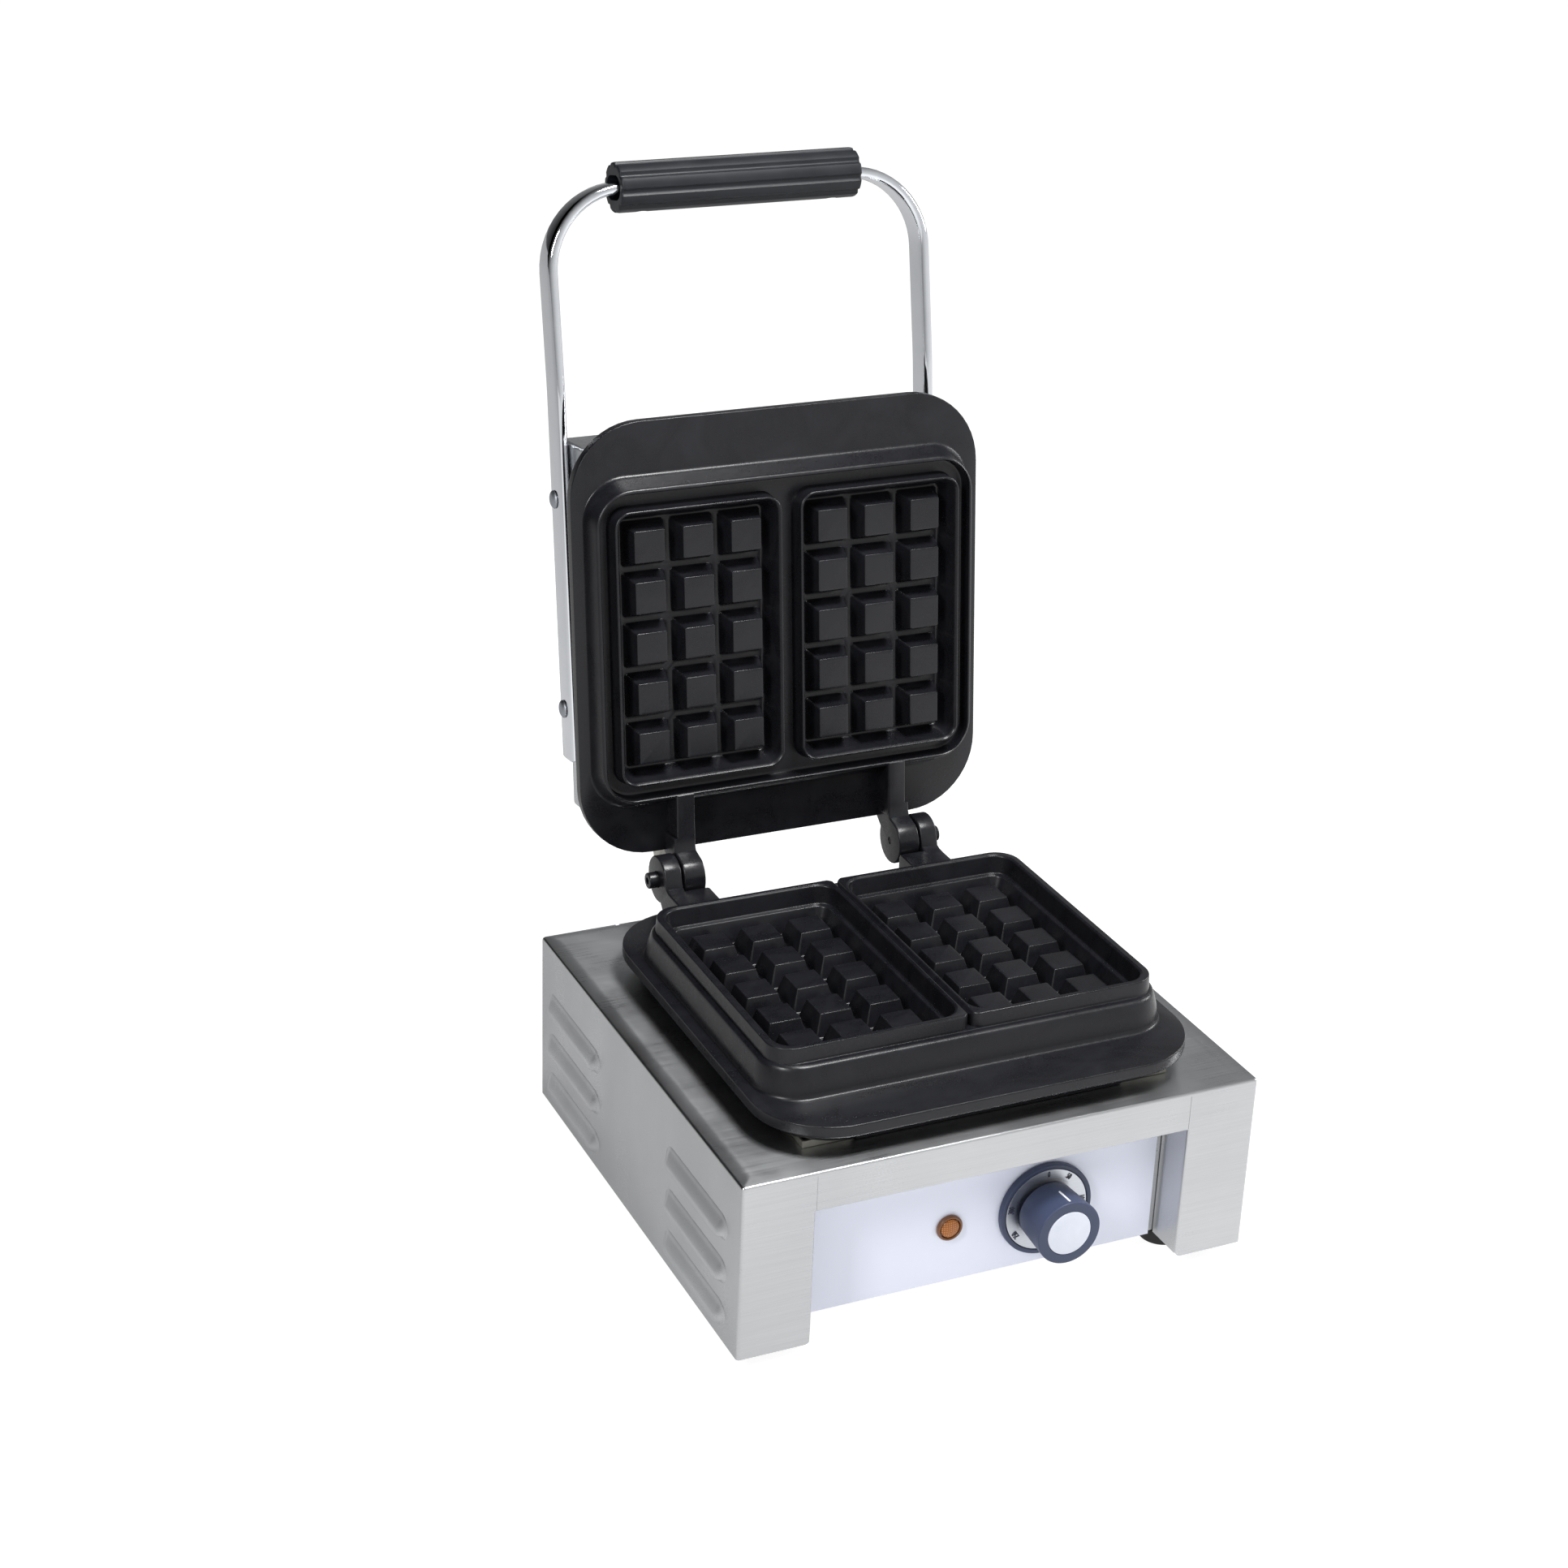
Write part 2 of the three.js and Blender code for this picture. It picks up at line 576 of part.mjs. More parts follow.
function upperPlate() {
  const body = stackSolid([
    ...underside(),
    [134.2, 107.6, 27, -15.6], [132.8, 105, 25.8, -7], [131.2, 102.4, 24.8, -0.5], [130.2, 101.2, 23.7, 0],
  ], 4);
  const channel = stackSolid([[128.6, 99.4, 22.2, -9.5], [129.3, 100.3, 23, 1]], 4);
  const lips = inBothCavities([
    [57.4, 90.4, 11.2, -12], [57, 90, 11, 2.2], [56.5, 89.5, 10.5, 2.9],
  ], 4);
  const cavities = inBothCavities([
    [49.4, 82.6, 4, -STUD.depth], [54.6, 87.8, 8.8, 1.2], [55.6, 88.8, 9.6, 2.9], [55.7, 88.9, 9.7, 4],
  ], 4);
  const bores = [-1, 1].map((side) => {
    const [inner, outer] = [UPPER_EAR[0] + 5.6, UPPER_EAR[1] + 1];
    const y = HINGE.y - PLATE_Y;
    const z = HINGE.z - STUD_Z + (CLOSED_GAP - 2 * (HINGE.z - STUD_Z));
    const wide = side < 0 ? [-outer, -inner] : [inner, outer];
    const narrow = side < 0 ? [-inner - 1, -UPPER_EAR[0] + 1] : [UPPER_EAR[0] - 1, inner + 1];
    return join(rod(HINGE.pinRadius + GAP, ...wide, 'x', 0, y, z), rod(2, ...narrow, 'x', 0, y, z, 12));
  });
  const taps = COVER_BOLT_Y.map((y) => rod(3.3, -BODY_DEPTH - 1, -22, 'z', 0, y, 0, 12));
  const ears = hingeEars(UPPER_EAR, UPPER_RIB, 0.4);
  const hollowed = cut(join(body, ears), channel);
  return join(cut(join(hollowed, lips), cavities, elementRecess(), ...bores, ...taps), ...studs());
}

// A sheathed heating rod in one loop under the studs, with both ends brought out at the middle.
function heatingElement(leadLength) {
  const z = -26.9;
  const half = [
    [12, 4, z - leadLength], [12, 4, z - 12], [12, 9, z - 3], [12, 20, z], [12, 45, z], [15, 58, z],
    [26, 66, z], [70, 66, z], [86, 61, z], [92, 48, z], [92, -48, z], [86, -61, z], [70, -66, z], [30, -66, z],
  ];
  const mirrored = half.map(([x, y, height]) => [-x, y, height]).reverse();
  return cable([...half, ...mirrored], 3.6, 56, 8);
}

function clampPlate() {
  const plate = stackSolid([[106, 80, 6, -34.2], [106, 80, 6, -32.6]], 2);
  return plate.subtract(box(-52, 52, -24, 24, -40, -30));
}

function heatTray() {
  const bottom = HOUSING.height + GAP - STUD_Z;
  const tray = cut(
    box(-121, 121, -123.5, 123.5, bottom, -BODY_DEPTH - GAP),
    box(-119.8, 119.8, -122.3, 122.3, bottom + 1.2, 0),
    box(-52, 52, -24, 24, bottom - 5, 0),
    ...BOLT_HOLES.map(([x, y]) => rod(3.4, bottom - 5, bottom + 5, 'z', x, y, 0, 12)),
  );
  return tray;
}

function plateBolt(x, y) {
  const face = HOUSING.height - HOUSING.sheet - GAP - STUD_Z;
  const profile = [[0, face - 5], [5.5, face - 5], [5.5, face], [3, face], [3, -23], [0, -23]];
  return turned(profile, 'z', x, y, 0, 12);
}

function hingePin(side) {
  const from = UPPER_EAR[0] + 6;
  const to = HINGE.pinEnd;
  const outline = [
    [0, from], [HINGE.pinRadius, from], [HINGE.pinRadius, to - 0.7], [HINGE.pinRadius - 0.7, to],
    [2.4, to], [2.4, to - 3], [0, to - 3],
  ];
  const pin = turned(outline, 'x', 0, 0, 0, 16);
  const turnedPin = side < 0 ? pin.rotate([0, 0, 180]) : pin;
  return turnedPin.translate([0, HINGE.y, HINGE.z]);
}

// ---------------------------------------------------------------- lid, in plate coordinates
function lidCover() {
  const { halfX, halfY, front, back, sheet } = COVER;
  const shell = cut(
    stackSolid([
      [halfX - 1.4, halfY - 1.4, 1.6, back], [halfX, halfY, 3, back + 1.4], [halfX, halfY, 3, front],
    ], 3),
    stackSolid([
      [halfX - sheet, halfY - sheet, 2, back + sheet], [halfX - sheet, halfY - sheet, 2, front + 1],
    ], 3),
  );
  const holes = [
    ...COVER_BOLT_Y.map((y) => rod(3.3, back - 5, back + 5, 'z', 0, y, 0, 12)),
    rod(CONDUIT_RADIUS + 1.5 + GAP, halfY - 5, halfY + 5, 'y', -CONDUIT_LID.x, 0, CONDUIT_LID.z),
  ];
  for (const y of RIVET_Y) {
    holes.push(rod(2.8, -halfX - 5, -halfX + 5, 'x', 0, y, rivetDepth(y), 12));
    holes.push(rod(2.8, halfX - 5, halfX + 5, 'x', 0, y, rivetDepth(y), 12));
  }
  return cut(shell, ...holes);
}

function lidInsulation() {
  const sheet = stackSolid([[115, 113, 4, COVER.back + 4], [115, 113, 4, COVER.back + 24]], 2);
  return cut(
    sheet,
    ...COVER_BOLT_Y.map((y) => rod(4, COVER.back, -40, 'z', 0, y, 0, 12)),
    box(-CONDUIT_LID.x - 12, -CONDUIT_LID.x + 12, 84, 120, COVER.back, -40),
  );
}

function coverBolt(y) {
  const face = COVER.back - GAP;
  const profile = [
    [0, -23], [3, -23], [3, face], [6.5, face], [6.5, face - 3.4], [5.2, face - 6.2], [2.6, face - 7.6],
    [0, face - 8],
  ];
  return turned(profile, 'z', 0, y, 0, 12);
}

function barDepth(y) {
  const straight = BAR.lowerEnd - Math.max(y, BAR.bendY);
  const bent = Math.max(0, BAR.bendY - y);
  return BAR_DEPTH - BAR_TILT * straight - BAR_LEAN * bent;
}

function rivetDepth(y) {
  return barDepth(y) - RIVET_BACK;
}

function handlePath() {
  const half = [];
  for (const y of [BAR.lowerEnd, 40, -10, -60, -110, -142, BAR.bendY, -170, -198]) {
    half.push([BAR.x, y, barDepth(y)]);
  }
  for (let k = 0; k <= 9; k += 1) {
    const angle = (k / 9) * (Math.PI / 2);
    const y = BAR.arcY - BAR.arcRadius * Math.sin(angle);
    half.push([BAR.x - BAR.arcRadius * (1 - Math.cos(angle)), y, barDepth(y)]);
  }
  half.push([48, BAR.arcY - BAR.arcRadius, barDepth(BAR.arcY - BAR.arcRadius)]);
  half.push([16, BAR.arcY - BAR.arcRadius, barDepth(BAR.arcY - BAR.arcRadius)]);
  const mirrored = half.map(([x, y, z]) => [-x, y, z]).reverse();
  return [...half, ...mirrored].map((p) => new THREE.Vector3(...p));
}

// A bar's section: flat sides and half-round edges.
function barSection(grow = 0) {
  const r = BAR.thick / 2 + grow;
  const straight = BAR.deep / 2 + grow - r;
  const shape = new THREE.Shape();
  shape.absarc(0, straight, r, 0, Math.PI, false);
  shape.absarc(0, -straight, r, Math.PI, Math.PI * 2, false);
  return shape;
}

const GRIP_Y = BAR.arcY - BAR.arcRadius;
const GRIP_Z = barDepth(GRIP_Y);
const GRIP_SCREW_X = 66;

// Moves a solid drawn about the X axis to the grip's place, leaned back with the bar.
function ontoGrip(solid) {
  const lean = THREE.MathUtils.radToDeg(Math.atan(BAR_LEAN));
  return solid.rotate([lean, 0, 0]).translate([0, GRIP_Y, GRIP_Z]);
}

function handleBar() {
  const path = new THREE.CatmullRomCurve3(handlePath(), false, 'centripetal');
  const options = { steps: 44, extrudePath: path, bevelEnabled: false, curveSegments: 2 };
  const bar = toSolid(new THREE.ExtrudeGeometry(barSection(), options));
  const holes = [];
  for (const side of [-1, 1]) {
    const [x0, x1] = side < 0 ? [-BAR.x - 8, -BAR.x + 8] : [BAR.x - 8, BAR.x + 8];
    RIVET_Y.forEach((y) => holes.push(rod(2.8, x0, x1, 'x', 0, y, rivetDepth(y), 12)));
    holes.push(ontoGrip(rod(1.9, -8, 8, 'y', side * GRIP_SCREW_X, 0, 0, 10)));
  }
  return cut(bar, ...holes);
}

// Moulded grip: a fluted tube over the bar, with round mouths and two screw pockets.
function handleGrip() {
  const outline = [];
  const sides = GRIP.flutes * 6;
  for (let k = 0; k < sides; k += 1) {
    const angle = (k / sides) * Math.PI * 2;
    const groove = k % 6 === 0 ? 1.3 : 0;
    const radius = GRIP.radius - groove;
    outline.push(new THREE.Vector2(radius * Math.cos(angle), radius * Math.sin(angle)));
  }
  const length = 2 * GRIP.halfLength;
  const options = { depth: length, bevelEnabled: false, curveSegments: 5 };
  const tube = new THREE.ExtrudeGeometry(new THREE.Shape(outline), options);
  const slot = new THREE.ExtrudeGeometry(barSection(GAP + 0.1), { ...options, curveSegments: 3 });
  for (const geometry of [tube, slot]) {
    geometry.rotateY(Math.PI / 2);
    geometry.rotateX(Math.PI / 2);
    geometry.translate(-GRIP.halfLength, 0, 0);
  }
  const mouth = GRIP.halfLength - 22;
  const tools = [toSolid(slot)];
  for (const side of [-1, 1]) {
    const [x0, x1] = side < 0 ? [-GRIP.halfLength - 1, -mouth] : [mouth, GRIP.halfLength + 1];
    tools.push(rod(10.8, x0, x1, 'x', 0, 0, 0, 24));
    tools.push(rod(4.2, 8, 20, 'y', side * GRIP_SCREW_X, 0, 0, 16));
    tools.push(rod(2, -8, 12, 'y', side * GRIP_SCREW_X, 0, 0, 10));
  }
  return ontoGrip(cut(toSolid(tube), ...tools));
}

function gripScrew(side) {
  const profile = [[0, -6], [1.6, -6], [1.6, 8.4], [3.6, 8.4], [3.4, 10.6], [1.8, 11.4], [0, 11.4]];
  return ontoGrip(turned(profile, 'y', side * GRIP_SCREW_X, 0, 0, 10));
}

function rivet(side, y) {
  const outer = BAR.x + BAR.thick / 2 + GAP;
  const inside = COVER.halfX - COVER.sheet;
  const profile = [
    [0, inside - 3], [4.2, inside - 3], [4.2, inside - GAP], [2.5, inside - GAP], [2.5, outer],
    [6, outer], [5.3, outer + 1.2], [3.4, outer + 2.1], [0, outer + 2.5],
  ];
  const head = turned(profile, 'x', 0, 0, 0, 12);
  return (side < 0 ? head.rotate([0, 0, 180]) : head).translate([0, y, rivetDepth(y)]);
}

function conduitLidGland() {
  const wall = COVER.halfY;
  const r = CONDUIT_RADIUS;
  const profile = [
    [r - 2, wall - 11], [r + 1.5, wall - 11], [r + 1.5, wall + GAP], [r + 4, wall + GAP],
    [r + 4, wall + 4], [r + 2.2, wall + 7], [r - 2, wall + 7], [r - 2, wall - 11],
  ];
  return turned(profile, 'y', -CONDUIT_LID.x, 0, CONDUIT_LID.z, 24);
}

// ---------------------------------------------------------------- assembly
const base = new THREE.Group();
base.add(
  piece('housing', housing(), stainless),
  piece('rear_panel', rearPanel(), galvanised),
  piece('base_plate', basePlate(), galvanised),
  piece('control_panel', controlPanel(), stainless),
  piece('panel_overlay', panelOverlay(), whiteFilm),
  piece('dial_rim', dialRim(), navyPlastic),
  piece('scale_ring', scaleRing(), silverPrint),
  piece('thermostat', thermostat(), bakelite),
  piece('thermostat_bulb', thermostatBulb(), copper),
  piece('pilot_bezel', pilotBezel(), amberBezel),
  piece('pilot_lens', pilotLens(), amber),
  piece('pilot_body', pilotBody(), blackPlastic),
  piece('terminal_block', terminalBlock(), paleInlay),
  piece('cable_gland', cableGland(), blackPlastic),
  piece('gland_nut', glandNut(), blackPlastic),
  piece('conduit_gland_rear', conduitRearGland(), zinc),
  piece('hinge_pin_left', hingePin(-1), castIron),
  piece('hinge_pin_right', hingePin(1), castIron),
);
for (const [where, x, y] of footCentres()) {
  base.add(piece(`foot_${where}`, foot(x, y), rubber));
  base.add(piece(`foot_screw_${where}`, footScrew(x, y), zinc));
}
REAR_SCREWS.forEach(([x, z], k) => base.add(piece(`rear_screw_${k + 1}`, rearScrew(x, z), zinc)));

const lowerPlateGroup = new THREE.Group();
lowerPlateGroup.position.set(0, PLATE_Y, STUD_Z);
lowerPlateGroup.add(
  piece('lower_plate', lowerPlate(), castIron),
  piece('lower_element', heatingElement(24), elementSheath),
  piece('lower_element_clamp', clampPlate(), galvanised),
  piece('heat_tray', heatTray(), stainless),
);
BOLT_HOLES.forEach(([x, y], k) => lowerPlateGroup.add(piece(`plate_bolt_${k + 1}`, plateBolt(x, y), zinc)));
base.add(lowerPlateGroup);

const controlKnob = new THREE.Group();
controlKnob.add(
  piece('knob', knob(), navyPlastic),
  piece('knob_cap', knobCap(), paleInlay),
  piece('thermostat_shaft', thermostatShaft(), zinc),
);
base.add(controlKnob);

// The lid's pieces are drawn face up, so they are turned over about Y before the hinge opens them.
const lidPieces = new THREE.Group();
lidPieces.position.set(0, PLATE_Y - HINGE.y, STUD_Z + CLOSED_GAP - HINGE.z);
lidPieces.rotation.y = Math.PI;
lidPieces.add(
  piece('upper_plate', upperPlate(), castIron),
  piece('upper_element', heatingElement(9.5), elementSheath),
  piece('upper_element_clamp', clampPlate(), galvanised),
  piece('lid_cover', lidCover(), stainless),
  piece('lid_insulation', lidInsulation(), mineralWool),
  piece('cover_bolt_front', coverBolt(COVER_BOLT_Y[0]), zinc),
  piece('cover_bolt_rear', coverBolt(COVER_BOLT_Y[1]), zinc),
  piece('handle_bar', handleBar(), chrome),
  piece('handle_grip', handleGrip(), blackPlastic),
  piece('conduit_gland_lid', conduitLidGland(), zinc),
);
for (const [where, side] of [['left', 1], ['right', -1]]) {
  lidPieces.add(piece(`grip_screw_${where}`, gripScrew(side), zinc));
  lidPieces.add(piece(`handle_rivet_${where}_front`, rivet(side, RIVET_Y[0]), chrome));
  lidPieces.add(piece(`handle_rivet_${where}_rear`, rivet(side, RIVET_Y[1]), chrome));
}
const lid = new THREE.Group();
lid.position.set(0, HINGE.y, HINGE.z);
lid.rotation.x = -THREE.MathUtils.degToRad(HINGE.openAngle);
lid.add(lidPieces);
base.add(lid);

// Sheathed wires from the rear of the housing to the lid, hanging in a slack bow behind the hinge.
// A point on the open lid, from its place in the upper plate's coordinates.
function onOpenLid(x, y, z) {
  const point = new THREE.Vector3(x, y, z).applyMatrix4(lidPieces.matrix).applyMatrix4(lid.matrix);
  return point.toArray();
}

lidPieces.updateMatrix();
lid.updateMatrix();
const conduitRoute = [
  [CONDUIT_REAR.x, HOUSING.depth - HOUSING.sheet + 8.6, CONDUIT_REAR.z],
  [CONDUIT_REAR.x, 346, CONDUIT_REAR.z], [-43, 374, 53], [-46, 397, 72], [-51, 402, 102],
  [-60, 388, 132], [-69, 374, 154],
  onOpenLid(-CONDUIT_LID.x, COVER.halfY + CONDUIT_LID.reach + 4, CONDUIT_LID.z),
  onOpenLid(-CONDUIT_LID.x, COVER.halfY + CONDUIT_LID.reach, CONDUIT_LID.z),
];
base.add(piece('lid_conduit', cable(conduitRoute, CONDUIT_RADIUS, 20, 10), paleSleeve));

const waffleIron = new THREE.Group();
base.position.set(0, -ORIGIN_Y, FOOT.drop);
waffleIron.add(base);

export default waffleIron;
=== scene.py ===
"""Looks of a counter-top electric waffle iron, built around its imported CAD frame.

Shapes are drawn in millimetres, in the housing's coordinates (X centred, Y back from the housing's
front face, Z up from the leg bottoms) or in a plate's coordinates (middle of the casting, Y towards
the hinge, Z up from the stud tops), and are then moved into the frame, in metres.
"""

import json
import math

import bmesh
import bpy
from mathutils import Euler, Matrix, Vector


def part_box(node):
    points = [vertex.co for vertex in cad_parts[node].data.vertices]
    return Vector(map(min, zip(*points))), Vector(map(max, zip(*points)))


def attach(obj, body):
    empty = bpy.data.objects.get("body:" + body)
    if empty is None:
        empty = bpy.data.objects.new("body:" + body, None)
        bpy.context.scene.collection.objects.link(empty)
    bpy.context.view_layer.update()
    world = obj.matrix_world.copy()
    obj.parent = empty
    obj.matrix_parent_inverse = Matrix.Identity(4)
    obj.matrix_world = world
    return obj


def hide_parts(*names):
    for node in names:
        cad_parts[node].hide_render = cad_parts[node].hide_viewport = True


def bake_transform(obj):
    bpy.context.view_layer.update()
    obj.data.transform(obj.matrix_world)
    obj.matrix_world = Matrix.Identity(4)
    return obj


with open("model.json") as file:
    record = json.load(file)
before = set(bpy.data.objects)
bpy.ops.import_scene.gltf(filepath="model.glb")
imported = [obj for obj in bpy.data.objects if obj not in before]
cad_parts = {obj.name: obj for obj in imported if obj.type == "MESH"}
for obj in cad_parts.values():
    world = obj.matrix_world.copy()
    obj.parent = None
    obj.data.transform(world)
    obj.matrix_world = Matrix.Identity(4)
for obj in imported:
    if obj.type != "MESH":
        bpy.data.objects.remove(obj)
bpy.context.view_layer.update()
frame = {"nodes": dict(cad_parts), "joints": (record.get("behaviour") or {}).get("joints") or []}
NODES = frame["nodes"]
MM = 0.001

# ------------------------ dimensions, millimetres
WIDTH, DEPTH, HEIGHT, SHEET = 340, 326, 116, 1.2
BEND = 2.2  # outside radius of the housing's folds
LEG_INNER, LEG_TOP, RETURN_DEPTH = 123.2, 89.6, 27
LOUVRE_HEIGHTS, LOUVRE_CENTRES_Y = (76, 46.5, 17.5), (64, 265.5)
LOUVRE_HALF, LOUVRE_OUT = (44.5, 7), 4.2
PANEL_Y = 26.7  # front of the white film
BACK_NOTCH_X = 117.5
REAR_SCREW_X, REAR_SCREW_Z = 163.5, (22, 96)
MAINS_GLAND = (118, 34)
FOOT_X, FOOT_FRONT_Y, FOOT_REAR_Y = 136.5, 38, 288
DIAL_X, DIAL_Z = 42.3, 40
PILOT_X, PILOT_Z = -21.8, 40
SCALE_MARKS = (("0", 0), ("50", 35), ("100", 85), ("150", 135), ("200", 185), ("250", 235), ("300", 280))
SCALE_OUTER, SCALE_INNER, SCALE_FRONT, SCALE_DISH = 27.4, 20.0, 22.2, 0.8
MARK_RADIUS, MARK_SIZE, MARK_WIDTH = 24.3, 5.6, 0.60
KNOB_TAPER = 0.068  # radians

STUD_PITCH, STUD_ROWS, STUD_COLUMNS = 33, 5, 3
CAVITY_X = 63.3
NOTCH_RADIUS, NOTCH_Y = 9.0, 97.3  # where the rims of the two cavities curve apart
PLATE_Y, STUD_Z, CLOSED_GAP = 150.2, 152.9, 4
EAR_RADIUS, PIN_RADIUS, PIN_END = 15.6, 5.3, 105
UPPER_EAR, LOWER_EAR = (70, 84.8), (86.2, 98.2)
UPPER_RIB, LOWER_RIB = (69.8, 82.4), (69, 98.2)
HINGE_LOCAL = (154.8, 1.9)  # hinge axis in a plate's coordinates
COVER_HALF, COVER_FRONT, COVER_BACK = (125.5, 123.4), -32.6, -76.3
COVER_BOLT_Y = (-100, 100)
BAR_DEPTH, BAR_TILT, BAR_LEAN = -64.3, 0.023, 0.082  # at its lower end, then its two slopes
BAR_LOWER_Y, BAR_BEND_Y, BAR_X = 86.4, -155.6, 129.6
BAR_HALF = (3.6, 10)
CONDUIT_REAR, CONDUIT_LID = (-42, 50), (-74, -58)
RIVET_Y, RIVET_BACK = (-85.6, 53.4), 1.5
ARC_Y, ARC_RADIUS = -227.8, 50
GRIP_Y = ARC_Y - ARC_RADIUS
GRIP_RADIUS, GRIP_HALF, GRIP_LANDS, GRIP_SCREW_X = 15.9, 83, 9, 66

CAMERA_LENS = 67.135
CAMERA_EYE = (-750.84, -1265.77, 996.17)
CAMERA_FORWARD = (0.38856, 0.82376, -0.41285)
CAMERA_RIGHT = (0.91047, -0.41214, 0.03457)

Z_TO_FRONT, Z_TO_BACK, Z_TO_RIGHT = (math.pi / 2, 0, 0), (-math.pi / 2, 0, 0), (0, math.pi / 2, 0)

# ------------------------ places in the frame
HOUSING_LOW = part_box("housing")[0]
HINGE = next(joint for joint in frame["joints"] if joint["name"] == "lid_hinge")
HOUSING_FRAME = Matrix.Translation((0, HOUSING_LOW.y, HOUSING_LOW.z)) @ Matrix.Scale(MM, 4)
LOWER_FRAME = HOUSING_FRAME @ Matrix.Translation((0, PLATE_Y, STUD_Z))
LID_FRAME = (
    Matrix.Translation(HINGE["pos_m"])
    @ Matrix.Rotation(-math.radians(HINGE["range_deg"][1]), 4, "X")
    @ Matrix.Scale(MM, 4)
    @ Matrix.Translation((0, -HINGE_LOCAL[0], CLOSED_GAP - HINGE_LOCAL[1]))
    @ Matrix.Rotation(math.pi, 4, "Y")
)


# ------------------------ camera, light and floor
def make_camera():
    """The reference view, from the front left and above."""
    data = bpy.data.cameras.new("camera")
    data.lens = CAMERA_LENS
    data.sensor_width = 36
    data.clip_end = 20
    camera = bpy.data.objects.new("camera", data)
    bpy.context.scene.collection.objects.link(camera)
    forward = Vector(CAMERA_FORWARD).normalized()
    right = Vector(CAMERA_RIGHT).normalized()
    up = right.cross(forward).normalized()
    right = forward.cross(up)
    rotation = Matrix((right, up, -forward)).transposed()
    eye = HOUSING_FRAME @ Vector(CAMERA_EYE)
    camera.matrix_world = Matrix.Translation(eye) @ rotation.to_4x4()
    bpy.context.scene.camera = camera


def area_light(name, place, target, size, power):
    data = bpy.data.lights.new(name, "AREA")
    data.shape = "RECTANGLE"
    data.size, data.size_y = size
    data.energy = power
    light = bpy.data.objects.new(name, data)
    light.location = place
    light.rotation_euler = (Vector(target) - Vector(place)).to_track_quat("-Z", "Y").to_euler()
    bpy.context.scene.collection.objects.link(light)


def make_world():
    """White to the camera; for the object, brightest to the right, in front and low down."""
    world = bpy.data.worlds.new("studio")
    world.use_nodes = True
    nodes, links = world.node_tree.nodes, world.node_tree.links
    nodes.clear()
    place = nodes.new("ShaderNodeTexCoord")
    slope = nodes.new("ShaderNodeVectorMath")
    slope.operation = "DOT_PRODUCT"
    slope.inputs[1].default_value = (0.30, -0.26, -0.23)
    links.new(place.outputs["Generated"], slope.inputs[0])
    level = nodes.new("ShaderNodeMath")
    level.operation = "ADD"
    level.inputs[1].default_value = 0.41
    links.new(slope.outputs["Value"], level.inputs[0])
    path = nodes.new("ShaderNodeLightPath")
    strength = nodes.new("ShaderNodeMath")
    strength.operation = "MAXIMUM"
    links.new(level.outputs[0], strength.inputs[0])
    links.new(path.outputs["Is Camera Ray"], strength.inputs[1])
    background = nodes.new("ShaderNodeBackground")
    background.inputs["Color"].default_value = (0.985, 0.99, 1.0, 1)
    links.new(strength.outputs[0], background.inputs["Strength"])
    output = nodes.new("ShaderNodeOutputWorld")
    links.new(background.outputs[0], output.inputs["Surface"])
    bpy.context.scene.world = world


def make_studio():
    make_world()
    area_light("overhead", (0.35, -0.55, 2.2), (0, 0, 0.15), (0.6, 0.6), 56)
    area_light("left_front", (-1.7, -1.1, 1.6), (0, 0, 0.2), (0.4, 0.8), 28)
    area_light("right_side", (2.3, -0.2, 1.2), (0, 0, 0.3), (0.4, 1.0), 22)
    bpy.ops.mesh.primitive_plane_add(size=60, location=(0, 0, 0))
    floor = bpy.context.object
    floor.name = "studio_floor"
    floor.data.materials.append(plain_floor())
    view = bpy.context.scene.view_settings
    view.view_transform = "Standard"
    view.look = "None"


